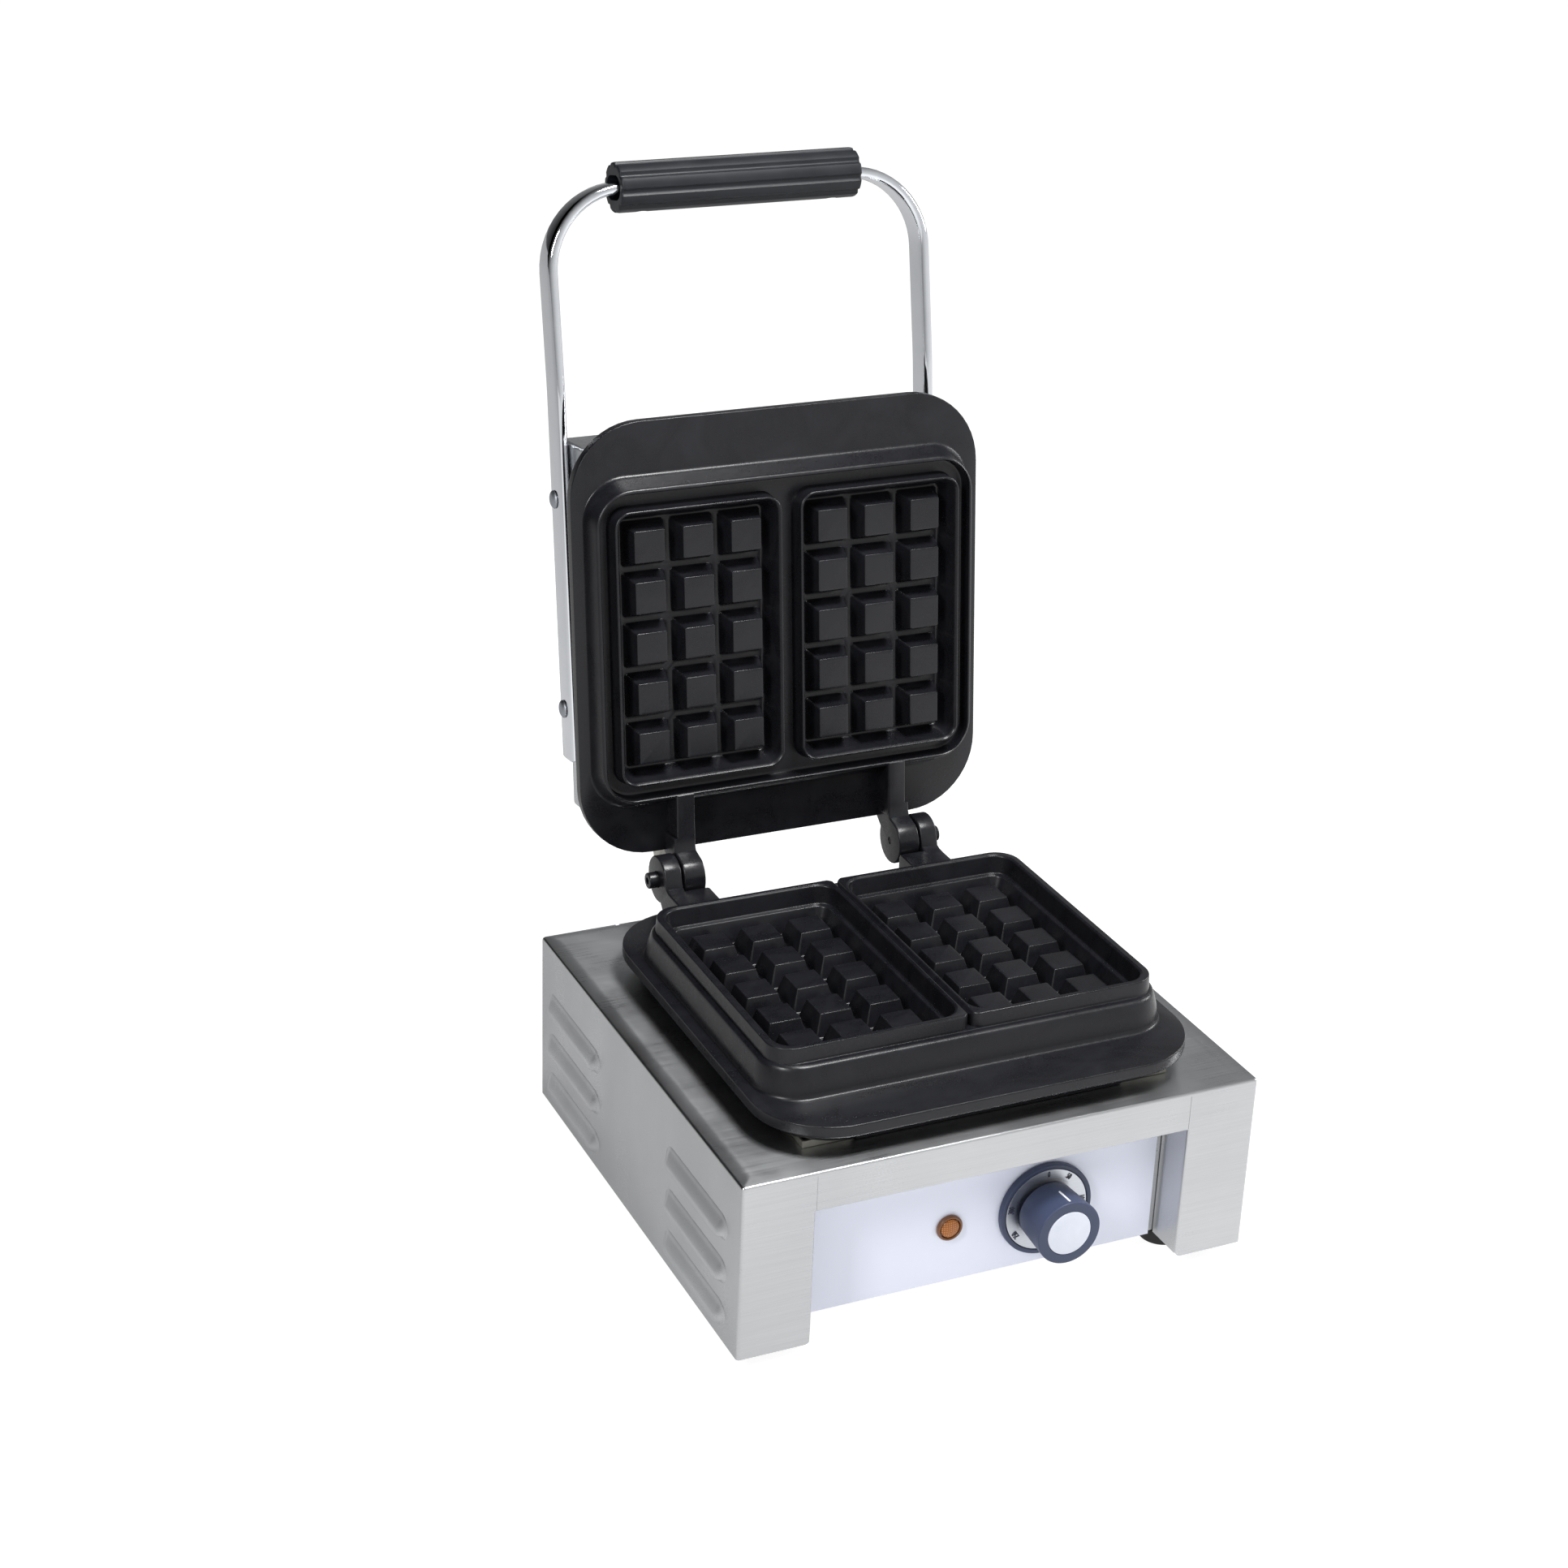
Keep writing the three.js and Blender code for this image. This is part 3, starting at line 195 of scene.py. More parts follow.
# ------------------------ materials
class Shader:
    """A short way to write a material's nodes."""

    def __init__(self, name):
        self.material = bpy.data.materials.new(name)
        self.material.use_nodes = True
        self.nodes = self.material.node_tree.nodes
        self.links = self.material.node_tree.links
        self.principled = self.nodes["Principled BSDF"]

    def set(self, **values):
        for name, value in values.items():
            self.principled.inputs[name.replace("_", " ")].default_value = value
        return self

    def feed(self, name, socket):
        self.links.new(socket, self.principled.inputs[name])

    def object_place(self, scale=(1, 1, 1), turn=(0, 0, 0)):
        place = self.nodes.new("ShaderNodeTexCoord")
        mapping = self.nodes.new("ShaderNodeMapping")
        mapping.inputs["Scale"].default_value = scale
        mapping.inputs["Rotation"].default_value = turn
        self.links.new(place.outputs["Object"], mapping.inputs["Vector"])
        return mapping.outputs["Vector"]

    def noise(self, vector, scale, detail=3, roughness=0.5, distortion=0.0):
        node = self.nodes.new("ShaderNodeTexNoise")
        node.inputs["Scale"].default_value = scale
        node.inputs["Detail"].default_value = detail
        node.inputs["Roughness"].default_value = roughness
        node.inputs["Distortion"].default_value = distortion
        self.links.new(vector, node.inputs["Vector"])
        return node.outputs["Fac"]

    def wave(self, vector, scale, distortion, axis="X"):
        node = self.nodes.new("ShaderNodeTexWave")
        node.bands_direction = axis
        node.inputs["Scale"].default_value = scale
        node.inputs["Distortion"].default_value = distortion
        self.links.new(vector, node.inputs["Vector"])
        return node.outputs["Fac"]

    def spread(self, value, low_in, high_in, low_out, high_out):
        node = self.nodes.new("ShaderNodeMapRange")
        for name, number in (("From Min", low_in), ("From Max", high_in), ("To Min", low_out),
                             ("To Max", high_out)):
            node.inputs[name].default_value = number
        self.links.new(value, node.inputs["Value"])
        return node.outputs["Result"]

    def math(self, operation, first, second):
        node = self.nodes.new("ShaderNodeMath")
        node.operation = operation
        for slot, value in enumerate((first, second)):
            if isinstance(value, (int, float)):
                node.inputs[slot].default_value = value
            else:
                self.links.new(value, node.inputs[slot])
        return node.outputs[0]

    def blend(self, factor, first, second):
        node = self.nodes.new("ShaderNodeMix")
        node.data_type = "RGBA"
        self.links.new(factor, node.inputs["Factor"])
        node.inputs["A"].default_value = (*first, 1)
        node.inputs["B"].default_value = (*second, 1)
        return node.outputs["Result"]

    def bump(self, height, strength, distance, after=None):
        node = self.nodes.new("ShaderNodeBump")
        node.inputs["Strength"].default_value = strength
        node.inputs["Distance"].default_value = distance
        self.links.new(height, node.inputs["Height"])
        if after is not None:
            self.links.new(after, node.inputs["Normal"])
        return node.outputs["Normal"]


def plain_floor():
    """A light-table floor: white to the camera, brightest to the right and in front of the object."""
    shader = Shader("studio_floor").set(Roughness=0.9, Emission_Color=(1, 1, 1, 1))
    grain = shader.noise(shader.object_place(), 3.0, 2)
    shader.feed("Base Color", shader.blend(grain, (0.235, 0.235, 0.237), (0.245, 0.245, 0.247)))
    slope = shader.nodes.new("ShaderNodeVectorMath")
    slope.operation = "DOT_PRODUCT"
    slope.inputs[1].default_value = (0.6, -0.8, 0)
    shader.links.new(shader.object_place(), slope.inputs[0])
    lit = shader.math("ADD", slope.outputs["Value"], 0.50)
    lit = shader.math("MINIMUM", shader.math("MAXIMUM", lit, 0.36), 0.80)
    seen = shader.nodes.new("ShaderNodeLightPath").outputs["Is Camera Ray"]
    shader.feed("Emission Strength", shader.math("MAXIMUM", lit, shader.math("MULTIPLY", seen, 0.93)))
    return shader.material


def brushed_steel(name, dark, light, roughness, along):
    """Brushed sheet: fine grain along one axis, faint wipe marks, and gloss drawn out across the grain."""
    shader = Shader(name).set(Metallic=1.0, Anisotropic=0.72)
    across = shader.nodes.new("ShaderNodeCombineXYZ")
    for axis, share in (("Y", 0.05), ("Z", 1.0)):
        across.inputs[axis].default_value = share
    shader.feed("Tangent", across.outputs[0])
    stretch = [1400, 1400, 1400]
    stretch["xyz".index(along)] = 16
    grain = shader.noise(shader.object_place(stretch), 1.0, 4, 0.6)
    clouds = shader.noise(shader.object_place((1, 1, 0.7), (0.35, 0.5, 0.2)), 9.0, 3, 0.5, 0.4)
    streaks = shader.noise(shader.object_place((10, 10, 3), (0.5, 0, 0)), 2.5, 3, 0.5, 0.3)
    tone = shader.math("ADD", shader.math("MULTIPLY", clouds, 0.45), shader.math("MULTIPLY", grain, 0.55))
    shader.feed("Base Color", shader.blend(shader.spread(tone, 0.3, 0.7, 0, 1), dark, light))
    rough = shader.math("ADD", shader.spread(streaks, 0.3, 0.7, roughness - 0.03, roughness + 0.04),
                        shader.spread(grain, 0.3, 0.7, -0.03, 0.04))
    shader.feed("Roughness", rough)
    shader.feed("Normal", shader.bump(grain, 0.10, 0.00008))
    return shader.material


def black_enamel(name):
    """Black satin enamel over a sand casting: fine pitted skin and faint rub marks."""
    shader = Shader(name).set(Metallic=0.0, Specular_IOR_Level=0.36)
    place = shader.object_place()
    peel = shader.noise(place, 520.0, 4, 0.6)
    coarse = shader.noise(place, 120.0, 3, 0.6, 0.3)
    rubs = shader.noise(shader.object_place((1, 2.2, 1), (0.3, 0.2, 0.6)), 30.0, 5, 0.62, 0.9)
    shader.feed("Base Color", shader.blend(shader.spread(rubs, 0.35, 0.75, 0, 1),
                                           (0.0056, 0.0058, 0.0076), (0.0105, 0.0108, 0.0135)))
    shader.feed("Roughness", shader.math("ADD", shader.spread(rubs, 0.3, 0.7, 0.25, 0.34),
                                         shader.spread(peel, 0.3, 0.7, -0.03, 0.05)))
    rough_skin = shader.bump(coarse, 0.03, 0.0004)
    shader.feed("Normal", shader.bump(peel, 0.05, 0.0001, rough_skin))
    return shader.material


def chrome_plate(name):
    shader = Shader(name).set(Metallic=1.0)
    haze = shader.noise(shader.object_place((1, 1, 1)), 60.0, 4, 0.6)
    shader.feed("Base Color", shader.blend(haze, (0.70, 0.72, 0.75), (0.80, 0.82, 0.85)))
    shader.feed("Roughness", shader.spread(haze, 0.3, 0.7, 0.05, 0.11))
    shader.feed("Normal", shader.bump(shader.noise(shader.object_place(), 40.0, 2), 0.03, 0.0006))
    return shader.material


def moulded(name, dark, light, roughness, grain=700.0, strength=0.12, coat=0.0, specular=0.5):
    """Moulded plastic or rubber: fine spark-eroded grain and slight handling marks."""
    shader = Shader(name).set(Metallic=0.0, Coat_Weight=coat, Specular_IOR_Level=specular)
    marks = shader.noise(shader.object_place(), 38.0, 4, 0.6, 0.5)
    fine = shader.noise(shader.object_place(), grain, 3, 0.6)
    shader.feed("Base Color", shader.blend(shader.spread(marks, 0.3, 0.7, 0, 1), dark, light))
    shader.feed("Roughness", shader.spread(marks, 0.3, 0.7, roughness - 0.05, roughness + 0.06))
    shader.feed("Normal", shader.bump(fine, strength, 0.00012))
    return shader.material


def plated(name, dark, light, roughness):
    """Zinc-plated or galvanised metal with a crystalline spangle."""
    shader = Shader(name).set(Metallic=1.0)
    spangle = shader.nodes.new("ShaderNodeTexVoronoi")
    spangle.inputs["Scale"].default_value = 130.0
    shader.links.new(shader.object_place(), spangle.inputs["Vector"])
    cell = shader.spread(spangle.outputs["Distance"], 0.0, 0.8, 0, 1)
    shader.feed("Base Color", shader.blend(cell, dark, light))
    shader.feed("Roughness", shader.spread(cell, 0, 1, roughness - 0.06, roughness + 0.08))
    shader.feed("Normal", shader.bump(shader.noise(shader.object_place(), 300.0), 0.08, 0.0002))
    return shader.material


def amber_glass(name):
    """Translucent amber lens with a fine moulded grid."""
    shader = Shader(name).set(Roughness=0.22, IOR=1.49, Transmission_Weight=0.15)
    lines = []
    for axis in ("X", "Z"):
        lines.append(shader.wave(shader.object_place(), 230.0, 0, axis))
    grid = shader.math("MAXIMUM", *lines)
    shader.feed("Base Color", shader.blend(shader.spread(grid, 0.55, 1.0, 0, 1), (0.62, 0.22, 0.035),
            (0.26, 0.075, 0.012)))
    shader.feed("Normal", shader.bump(grid, 0.25, 0.0003))
    return shader.material


def braided_sleeve(name):
    """Pale woven sleeve: two crossed sets of strands."""
    shader = Shader(name).set(Roughness=0.75)
    strands = []
    for turn in (0.8, -0.8):
        strands.append(shader.wave(shader.object_place((1, 1, 1), (turn, turn, 0)), 210.0, 0.4))
    weave = shader.math("MAXIMUM", *strands)
    shader.feed("Base Color", shader.blend(weave, (0.50, 0.48, 0.42), (0.74, 0.72, 0.65)))
    shader.feed("Normal", shader.bump(weave, 0.35, 0.0004))
    return shader.material


def fibre_wool(name):
    shader = Shader(name).set(Roughness=0.95)
    fibres = shader.noise(shader.object_place((1, 1, 14)), 160.0, 5, 0.7, 1.5)
    shader.feed("Base Color", shader.blend(fibres, (0.45, 0.40, 0.24), (0.75, 0.70, 0.50)))
    shader.feed("Normal", shader.bump(fibres, 0.6, 0.001))
    return shader.material


STEEL_SHEET = brushed_steel("stainless_housing", (0.47, 0.478, 0.49), (0.56, 0.567, 0.575), 0.30, "x")
STEEL_LID = brushed_steel("stainless_lid", (0.50, 0.515, 0.53), (0.61, 0.62, 0.635), 0.28, "x")
TRAY_STEEL = plated("tray_sheet", (0.30, 0.29, 0.25), (0.42, 0.41, 0.36), 0.5)
ENAMEL = black_enamel("black_enamel_casting")
CHROME = chrome_plate("chrome_bar")
GRIP_BLACK = moulded("grip_black", (0.0075, 0.0085, 0.0112), (0.012, 0.0135, 0.017), 0.42, 900.0, 0.08,
                     specular=0.3)
PLASTIC_BLACK = moulded("moulded_black", (0.012, 0.012, 0.013), (0.022, 0.022, 0.024), 0.5)
RUBBER = moulded("rubber_foot", (0.008, 0.008, 0.008), (0.016, 0.016, 0.016), 0.75, 500.0, 0.3)
WHITE_FILM = moulded("panel_white_film", (0.82, 0.85, 0.975), (0.83, 0.86, 0.985), 0.34, 1400.0, 0.03)
NAVY = moulded("navy_moulding", (0.030, 0.042, 0.088), (0.038, 0.052, 0.104), 0.46, 1100.0, 0.10)
NAVY_PRINT = moulded("navy_print", (0.030, 0.036, 0.060), (0.040, 0.046, 0.075), 0.45)
SILVER_PRINT = brushed_steel("silver_scale", (0.50, 0.52, 0.56), (0.64, 0.66, 0.70), 0.36, "x")
PALE = moulded("pale_inlay", (0.60, 0.63, 0.72), (0.68, 0.71, 0.79), 0.38, 1200.0, 0.05)
WHITE_MARK = moulded("white_mark", (0.78, 0.79, 0.82), (0.84, 0.85, 0.88), 0.4)
AMBER = amber_glass("amber_lens")
AMBER_BEZEL = moulded("amber_bezel", (0.13, 0.050, 0.017), (0.20, 0.075, 0.022), 0.30, 900.0, 0.05, 0.2)
BAKELITE = moulded("bakelite_brown", (0.10, 0.04, 0.02), (0.16, 0.065, 0.035), 0.45)
COPPER = plated("bare_copper", (0.60, 0.27, 0.14), (0.80, 0.42, 0.25), 0.30)
ELEMENT = plated("element_sheath", (0.08, 0.08, 0.085), (0.16, 0.155, 0.15), 0.48)
GALVANISED = plated("galvanised_sheet", (0.42, 0.43, 0.44), (0.60, 0.61, 0.62), 0.42)
ZINC = plated("zinc_plate", (0.52, 0.53, 0.54), (0.72, 0.73, 0.73), 0.30)
RIVET_GREY = plated("rivet_grey", (0.34, 0.36, 0.39), (0.42, 0.44, 0.47), 0.46)
SLEEVE = braided_sleeve("pale_sleeve")
WOOL = fibre_wool("mineral_wool")


# ------------------------ mesh making
def add_object(name, mesh_data, matrix, material, body, slot, *replaced):
    """Turns finished mesh data into a piece: its place is in its mesh, as on the CAD nodes."""
    mesh_data.transform(matrix)
    if matrix.determinant() < 0:
        mesh_data.flip_normals()
    piece = bpy.data.objects.new(name, mesh_data)
    bpy.context.scene.collection.objects.link(piece)
    mesh_data.materials.clear()
    mesh_data.materials.append(material)
    if body:
        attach(piece, body)
    if replaced:
        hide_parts(*replaced)
    return piece


def smooth(mesh_data, angle=32):
    for polygon in mesh_data.polygons:
        polygon.use_smooth = True
    bm = bmesh.new()
    bm.from_mesh(mesh_data)
    limit = math.radians(angle)
    for edge in bm.edges:
        edge.smooth = len(edge.link_faces) == 2 and edge.calc_face_angle(0) < limit
    bm.to_mesh(mesh_data)
    bm.free()
    return mesh_data


def mesh_from(bm, name="part"):
    bmesh.ops.remove_doubles(bm, verts=bm.verts, dist=1e-5)
    bmesh.ops.recalc_face_normals(bm, faces=bm.faces)
    data = bpy.data.meshes.new(name)
    bm.to_mesh(data)
    bm.free()
    return data


def fillet(points, sizes, segments=4):
    """Rounds the inner points of a polyline of any dimension with curves of the given lengths."""
    width = max(len(point) for point in points)
    points = [tuple(point) + (0,) * (width - len(point)) for point in points]
    rounded = [points[0]]
    for index in range(1, len(points) - 1):
        before, here, after = (points[index + step] for step in (-1, 0, 1))
        size = sizes[index]
        if size <= 0:
            rounded.append(here)
            continue
        ends = []
        for other in (before, after):
            length = math.dist(here, other)
            share = min(0.49, size / length) if length else 0
            ends.append([h + (o - h) * share for h, o in zip(here, other)])
        for k in range(segments + 1):
            t = k / segments
            rounded.append(tuple(
                (1 - t) ** 2 * a + 2 * t * (1 - t) * h + t * t * b
                for a, h, b in zip(ends[0], here, ends[1])
            ))
    rounded.append(points[-1])
    return rounded


def rounded_loop(half_x, half_y, radius, steps):
    loop = []
    radius = max(radius, 0.01)
    for sign_x, sign_y, start in ((1, 1, 0), (-1, 1, 90), (-1, -1, 180), (1, -1, 270)):
        for k in range(steps + 1):
            angle = math.radians(start + 90 * k / steps)
            loop.append((sign_x * (half_x - radius) + radius * math.cos(angle),
                         sign_y * (half_y - radius) + radius * math.sin(angle)))
    return loop


def skin(bm, rows):
    """Joins each closed row of points to the next with four-sided faces."""
    for row, after in zip(rows, rows[1:]):
        for k in range(len(row)):
            n = (k + 1) % len(row)
            bm.faces.new((row[k], row[n], after[n], after[k]))


def close_ends(bm, rows):
    bm.faces.new(list(reversed(rows[0])))
    bm.faces.new(rows[-1])


def loft(rings, steps=8):
    """Closed skin through rounded rectangles: each ring is half x, half y, corner radius, z, x, y."""
    bm = bmesh.new()
    loops = []
    for ring in rings:
        half_x, half_y, radius, z = ring[:4]
        shift_x, shift_y = (tuple(ring[4:]) + (0, 0))[:2]
        loops.append([bm.verts.new((x + shift_x, y + shift_y, z))
                      for x, y in rounded_loop(half_x, half_y, radius, steps)])
    skin(bm, loops)
    close_ends(bm, loops)
    return mesh_from(bm)


def turned(profile, sides=48):
    """A solid of revolution about Z; the profile holds (radius, z) and its ends lie on the axis."""
    bm = bmesh.new()
    rows = []
    for radius, z in profile:
        if radius < 1e-6:
            rows.append([bm.verts.new((0, 0, z))])
        else:
            rows.append([bm.verts.new((radius * math.cos(2 * math.pi * k / sides),
                                       radius * math.sin(2 * math.pi * k / sides), z)) for k in range(sides)])
    for lower, upper in zip(rows, rows[1:]):
        for k in range(sides):
            n = (k + 1) % sides
            corners = [lower[k % len(lower)], lower[n % len(lower)], upper[n % len(upper)],
                       upper[k % len(upper)]]
            unique = list(dict.fromkeys(corners))
            if len(unique) > 2:
                bm.faces.new(unique)
    return mesh_from(bm)


def ring_turned(profile, sides=48):
    """A ring about Z whose closed profile stays off the axis."""
    bm = bmesh.new()
    rows = [[bm.verts.new((radius * math.cos(2 * math.pi * k / sides),
                           radius * math.sin(2 * math.pi * k / sides), z)) for k in range(sides)]
            for radius, z in profile]
    skin(bm, rows + rows[:1])
    return mesh_from(bm)


def drill(radius, reach, sides):
    return turned([(0, -reach), (radius, -reach), (radius, reach), (0, reach)], sides)


def block(x0, x1, y0, y1, z0, z1):
    bm = bmesh.new()
    bmesh.ops.create_cube(bm, size=1)
    bmesh.ops.scale(bm, vec=(x1 - x0, y1 - y0, z1 - z0), verts=bm.verts)
    bmesh.ops.translate(bm, vec=((x0 + x1) / 2, (y0 + y1) / 2, (z0 + z1) / 2), verts=bm.verts)
    return mesh_from(bm)


def prism(outline, x0, x1, edge=0.0, segments=3):
    """An outline in the Y-Z plane, extruded along X, with its end edges rounded."""
    bm = bmesh.new()
    face = bm.faces.new([bm.verts.new((x0, y, z)) for y, z in outline])
    made = bmesh.ops.extrude_face_region(bm, geom=[face])["geom"]
    moved = [item for item in made if isinstance(item, bmesh.types.BMVert)]
    bmesh.ops.translate(bm, vec=(x1 - x0, 0, 0), verts=moved)
    if edge:
        rims = [e for e in bm.edges if abs(e.verts[0].co.x - e.verts[1].co.x) < 1e-6]
        bmesh.ops.bevel(bm, geom=rims, offset=edge, segments=segments, profile=0.5, affect="EDGES")
    return mesh_from(bm)


def moved(data, offset=(0, 0, 0), turn=(0, 0, 0), scale=(1, 1, 1)):
    copy = data.copy()
    matrix = Matrix.Translation(offset) @ Euler(turn).to_matrix().to_4x4() @ Matrix.Diagonal((*scale, 1))
    copy.transform(matrix)
    if matrix.determinant() < 0:
        copy.flip_normals()
    return copy


def mirrored(data):
    return [data, moved(data, scale=(-1, 1, 1))]


def joined(parts):
    """One mesh that holds the shells of several, for cutting or adding them at once."""
    bm = bmesh.new()
    for part in parts:
        bm.from_mesh(part)
    data = bpy.data.meshes.new("joined")
    bm.to_mesh(data)
    bm.free()
    return data


def combine(data, tool, operation):
    """Boolean of two closed meshes."""
    target = bpy.data.objects.new("target", data)
    other = bpy.data.objects.new("other", tool)
    for item in (target, other):
        bpy.context.scene.collection.objects.link(item)
    modifier = target.modifiers.new("boolean", "BOOLEAN")
    modifier.operation = operation
    modifier.solver = "MANIFOLD"
    modifier.object = other
    bpy.context.view_layer.update()
    evaluated = target.evaluated_get(bpy.context.evaluated_depsgraph_get())
    result = bpy.data.meshes.new_from_object(evaluated)
    bpy.data.objects.remove(target)
    bpy.data.objects.remove(other)
    return result


def add(data, *tools):
    for tool in tools:
        data = combine(data, tool, "UNION")
    return data


def cut(data, *tools):
    for tool in tools:
        data = combine(data, tool, "DIFFERENCE")
    return data


# ------------------------ castings
def stud():
    rings = fillet([(16.2, 16.2, 3.2, -14.3), (14.15, 14.15, 1.9, -13.9), (10.2, 10.2, 1.0, -0.1),
                    (8.6, 8.6, 0.7, 0.06)], [0, 1.4, 0.55, 0], 4)
    return loft(rings, 4)


def all_studs():
    shape = stud()
    studs = []
    for side in (-1, 1):
        for column in range(STUD_COLUMNS):
            for row in range(STUD_ROWS):
                x = side * CAVITY_X + (column - (STUD_COLUMNS - 1) / 2) * STUD_PITCH
                y = (row - (STUD_ROWS - 1) / 2) * STUD_PITCH
                studs.append(moved(shape, (x, y, 0)))
    return studs


def in_both_cavities(rings, steps=8):
    shape = loft(rings, steps)
    return joined([moved(shape, (-CAVITY_X, 0, 0)), moved(shape, (CAVITY_X, 0, 0))])


def hinge_arms(ear, rib, rib_top):
    """On both sides: the round ear on its neck, and the rib along the flange that carries it."""
    axis_y, axis_z = HINGE_LOCAL
    neck = [(130, -20), (142, -20), (axis_y - 6, axis_z - EAR_RADIUS + 1.0)]
    for k in range(21):
        angle = math.radians(-100 + 240 * k / 20)
        neck.append((axis_y + EAR_RADIUS * math.cos(angle), axis_z + EAR_RADIUS * math.sin(angle)))
    neck += [(139.0, rib_top + 1.4), (136.0, rib_top + 0.4), (130.0, rib_top)]
    foot = [(97, -20), (138.6, -20), (138.6, rib_top - 3.0), (137.6, rib_top - 0.8), (135.4, rib_top),
            (97, rib_top)]
    arms = add(prism(foot, *rib, 1.1), prism(neck, *ear, 1.1))
    return joined(mirrored(arms))


UNDERSIDE = [(128.2, 128.6, 34, -32), (130.2, 130.6, 36, -32),
             (142.2, 142.6, 48, -23.2)]  # of both castings


def back_recess():
    return loft([(112, 85, 10, -34), (110, 83, 10, -22.6)], 4)


def cusp_cutter():
    """Cuts the V between two round rim corners: its sides are two arcs that meet in a point."""
    bm = bmesh.new()
    rows = []
    for grow, z in ((0.0, 3.3), (0.0, 11.6), (0.4, 12.3), (1.2, 12.9), (2.0, 13.6)):
        side = []
        for k in range(10):
            angle = math.radians(10 * k)
            side.append((NOTCH_RADIUS * (1 - math.cos(angle)) + grow + 0.05,
                         NOTCH_RADIUS * (1 - math.sin(angle))))
        side.append((side[-1][0], -4))
        outline = [(-x, y) for x, y in reversed(side)] + side
        rows.append([bm.verts.new((x, y, z)) for x, y in outline])
    skin(bm, rows)
    close_ends(bm, rows)
    return mesh_from(bm)


def lower_casting():
    body = loft(fillet(
        UNDERSIDE + [(142.2, 142.6, 48, -16), (134.4, 107.8, 27.2, -15.7), (133.2, 106, 26.3, -6.5),
                     (131.4, 103, 25.1, 1.9), (129.4, 100.7, 23.2, 3.2), (128.3, 97.2, 16.5, 3.1),
                     (127.6, 96.3, 15.7, 12.6), (123, 91.5, 11, 12.6)],
        [0, 2.5, 1.6, 1.3, 3.2, 0, 2.4, 1.6, 1.0, 1.1, 0], 5), 12)
    cavities = in_both_cavities(fillet(
        [(47, 80, 3, -14), (49.6, 82.8, 4.2, -14), (54.4, 87.2, 8.4, -0.1), (57.4, 90.2, 11.1, 0.5),
         (59.0, 91.9, 12.6, 11.9), (60.6, 93.5, 14.2, 12.62), (61.0, 93.9, 14.6, 13.4)],
        [0, 2.0, 1.0, 0.8, 0.8, 0.5, 0], 4), 10)
    groove = prism([(-3.6, 13.2), (-2.0, 12.45), (-1.1, 11.0), (0, 10.2), (1.1, 11.0), (2.0, 12.45),
                    (3.6, 13.2)],
                   -94, 94)
    groove = moved(groove, turn=(0, 0, math.pi / 2))
    notches = [moved(cusp_cutter(), (0, -NOTCH_Y, 0)),
               moved(cusp_cutter(), (0, NOTCH_Y, 0), (0, 0, math.pi))]
    body = add(body, hinge_arms(LOWER_EAR, LOWER_RIB, 0.0))
    body = cut(body, cavities, groove, *notches, back_recess())
    body = add(body, joined(all_studs()))
    rib = loft(fillet([(88, 1.05, 1.0, -36.4), (90, 1.05, 1.0, -34.4), (90, 1.05, 1.0, -30.5)], [0, 1.5, 0],
                      4), 4)
    body = add(body, moved(rib, (0, -124.9, 0)))
    bore = moved(drill(5.6, 9, 32), (92.2, *HINGE_LOCAL), Z_TO_RIGHT)
    return cut(body, joined(mirrored(bore)))


def upper_casting():
    body = loft(fillet(
        UNDERSIDE + [(142.2, 142.6, 48, -16), (134.6, 108, 27.4, -15.8), (132.8, 105, 25.8, -7),
                     (131.5, 102.8, 25.0, -0.9), (129.8, 101.0, 23.4, 0.0), (126, 97, 20, 0.0)],
        [0, 2.5, 1.6, 1.3, 3.6, 0, 1.2, 0.9, 0], 5), 12)
    channel = loft(fillet([(126, 97, 17, -9.5), (128.5, 99.4, 18.9, -9.5), (129.0, 100.0, 19.5, -0.7),
                           (130.4, 101.4, 20.9, 0.7)], [0, 2.6, 0.5, 0], 4), 12)
    lips = in_both_cavities(fillet(
        [(58.6, 91.6, 12.4, -12), (58.6, 91.6, 12.4, -9.8), (57.5, 90.5, 11.3, -8.2),
         (57.0, 90.0, 10.8, 2.4),
         (56.3, 89.3, 10.1, 2.95), (53, 86, 7, 2.95)], [0, 0.8, 1.2, 0.7, 0.5, 0], 4), 10)
    cavities = in_both_cavities(fillet(
        [(47, 80, 3, -14), (49.6, 82.8, 4.2, -14), (54.4, 87.6, 8.6, 1.4), (55.4, 88.6, 9.6, 2.7),
         (56.6, 89.8, 10.8, 3.6)], [0, 2.0, 1.0, 0.6, 0], 4), 10)
    body = add(body, hinge_arms(UPPER_EAR, UPPER_RIB, 0.4))
    body = cut(body, channel)
    body = add(body, lips)
    body = cut(body, cavities, back_recess())
    body = add(body, joined(all_studs()))
    dimple = turned([(0, -1.2), (2.2, -0.6), (3.0, 1.0), (0, 1.0)], 24)
    bore = moved(drill(5.6, 6, 32), (81.6, *HINGE_LOCAL), Z_TO_RIGHT)
    dimple = moved(dimple, (UPPER_EAR[0], *HINGE_LOCAL), (0, -math.pi / 2, 0))
    return cut(body, joined(mirrored(bore)), joined(mirrored(dimple)))


def make_castings():
    add_object("lower_casting", smooth(lower_casting()), LOWER_FRAME, ENAMEL, "base", "cast_iron",
               "lower_plate")
    add_object("upper_casting", smooth(upper_casting()), LID_FRAME, ENAMEL, "lid", "cast_iron",
               "upper_plate")


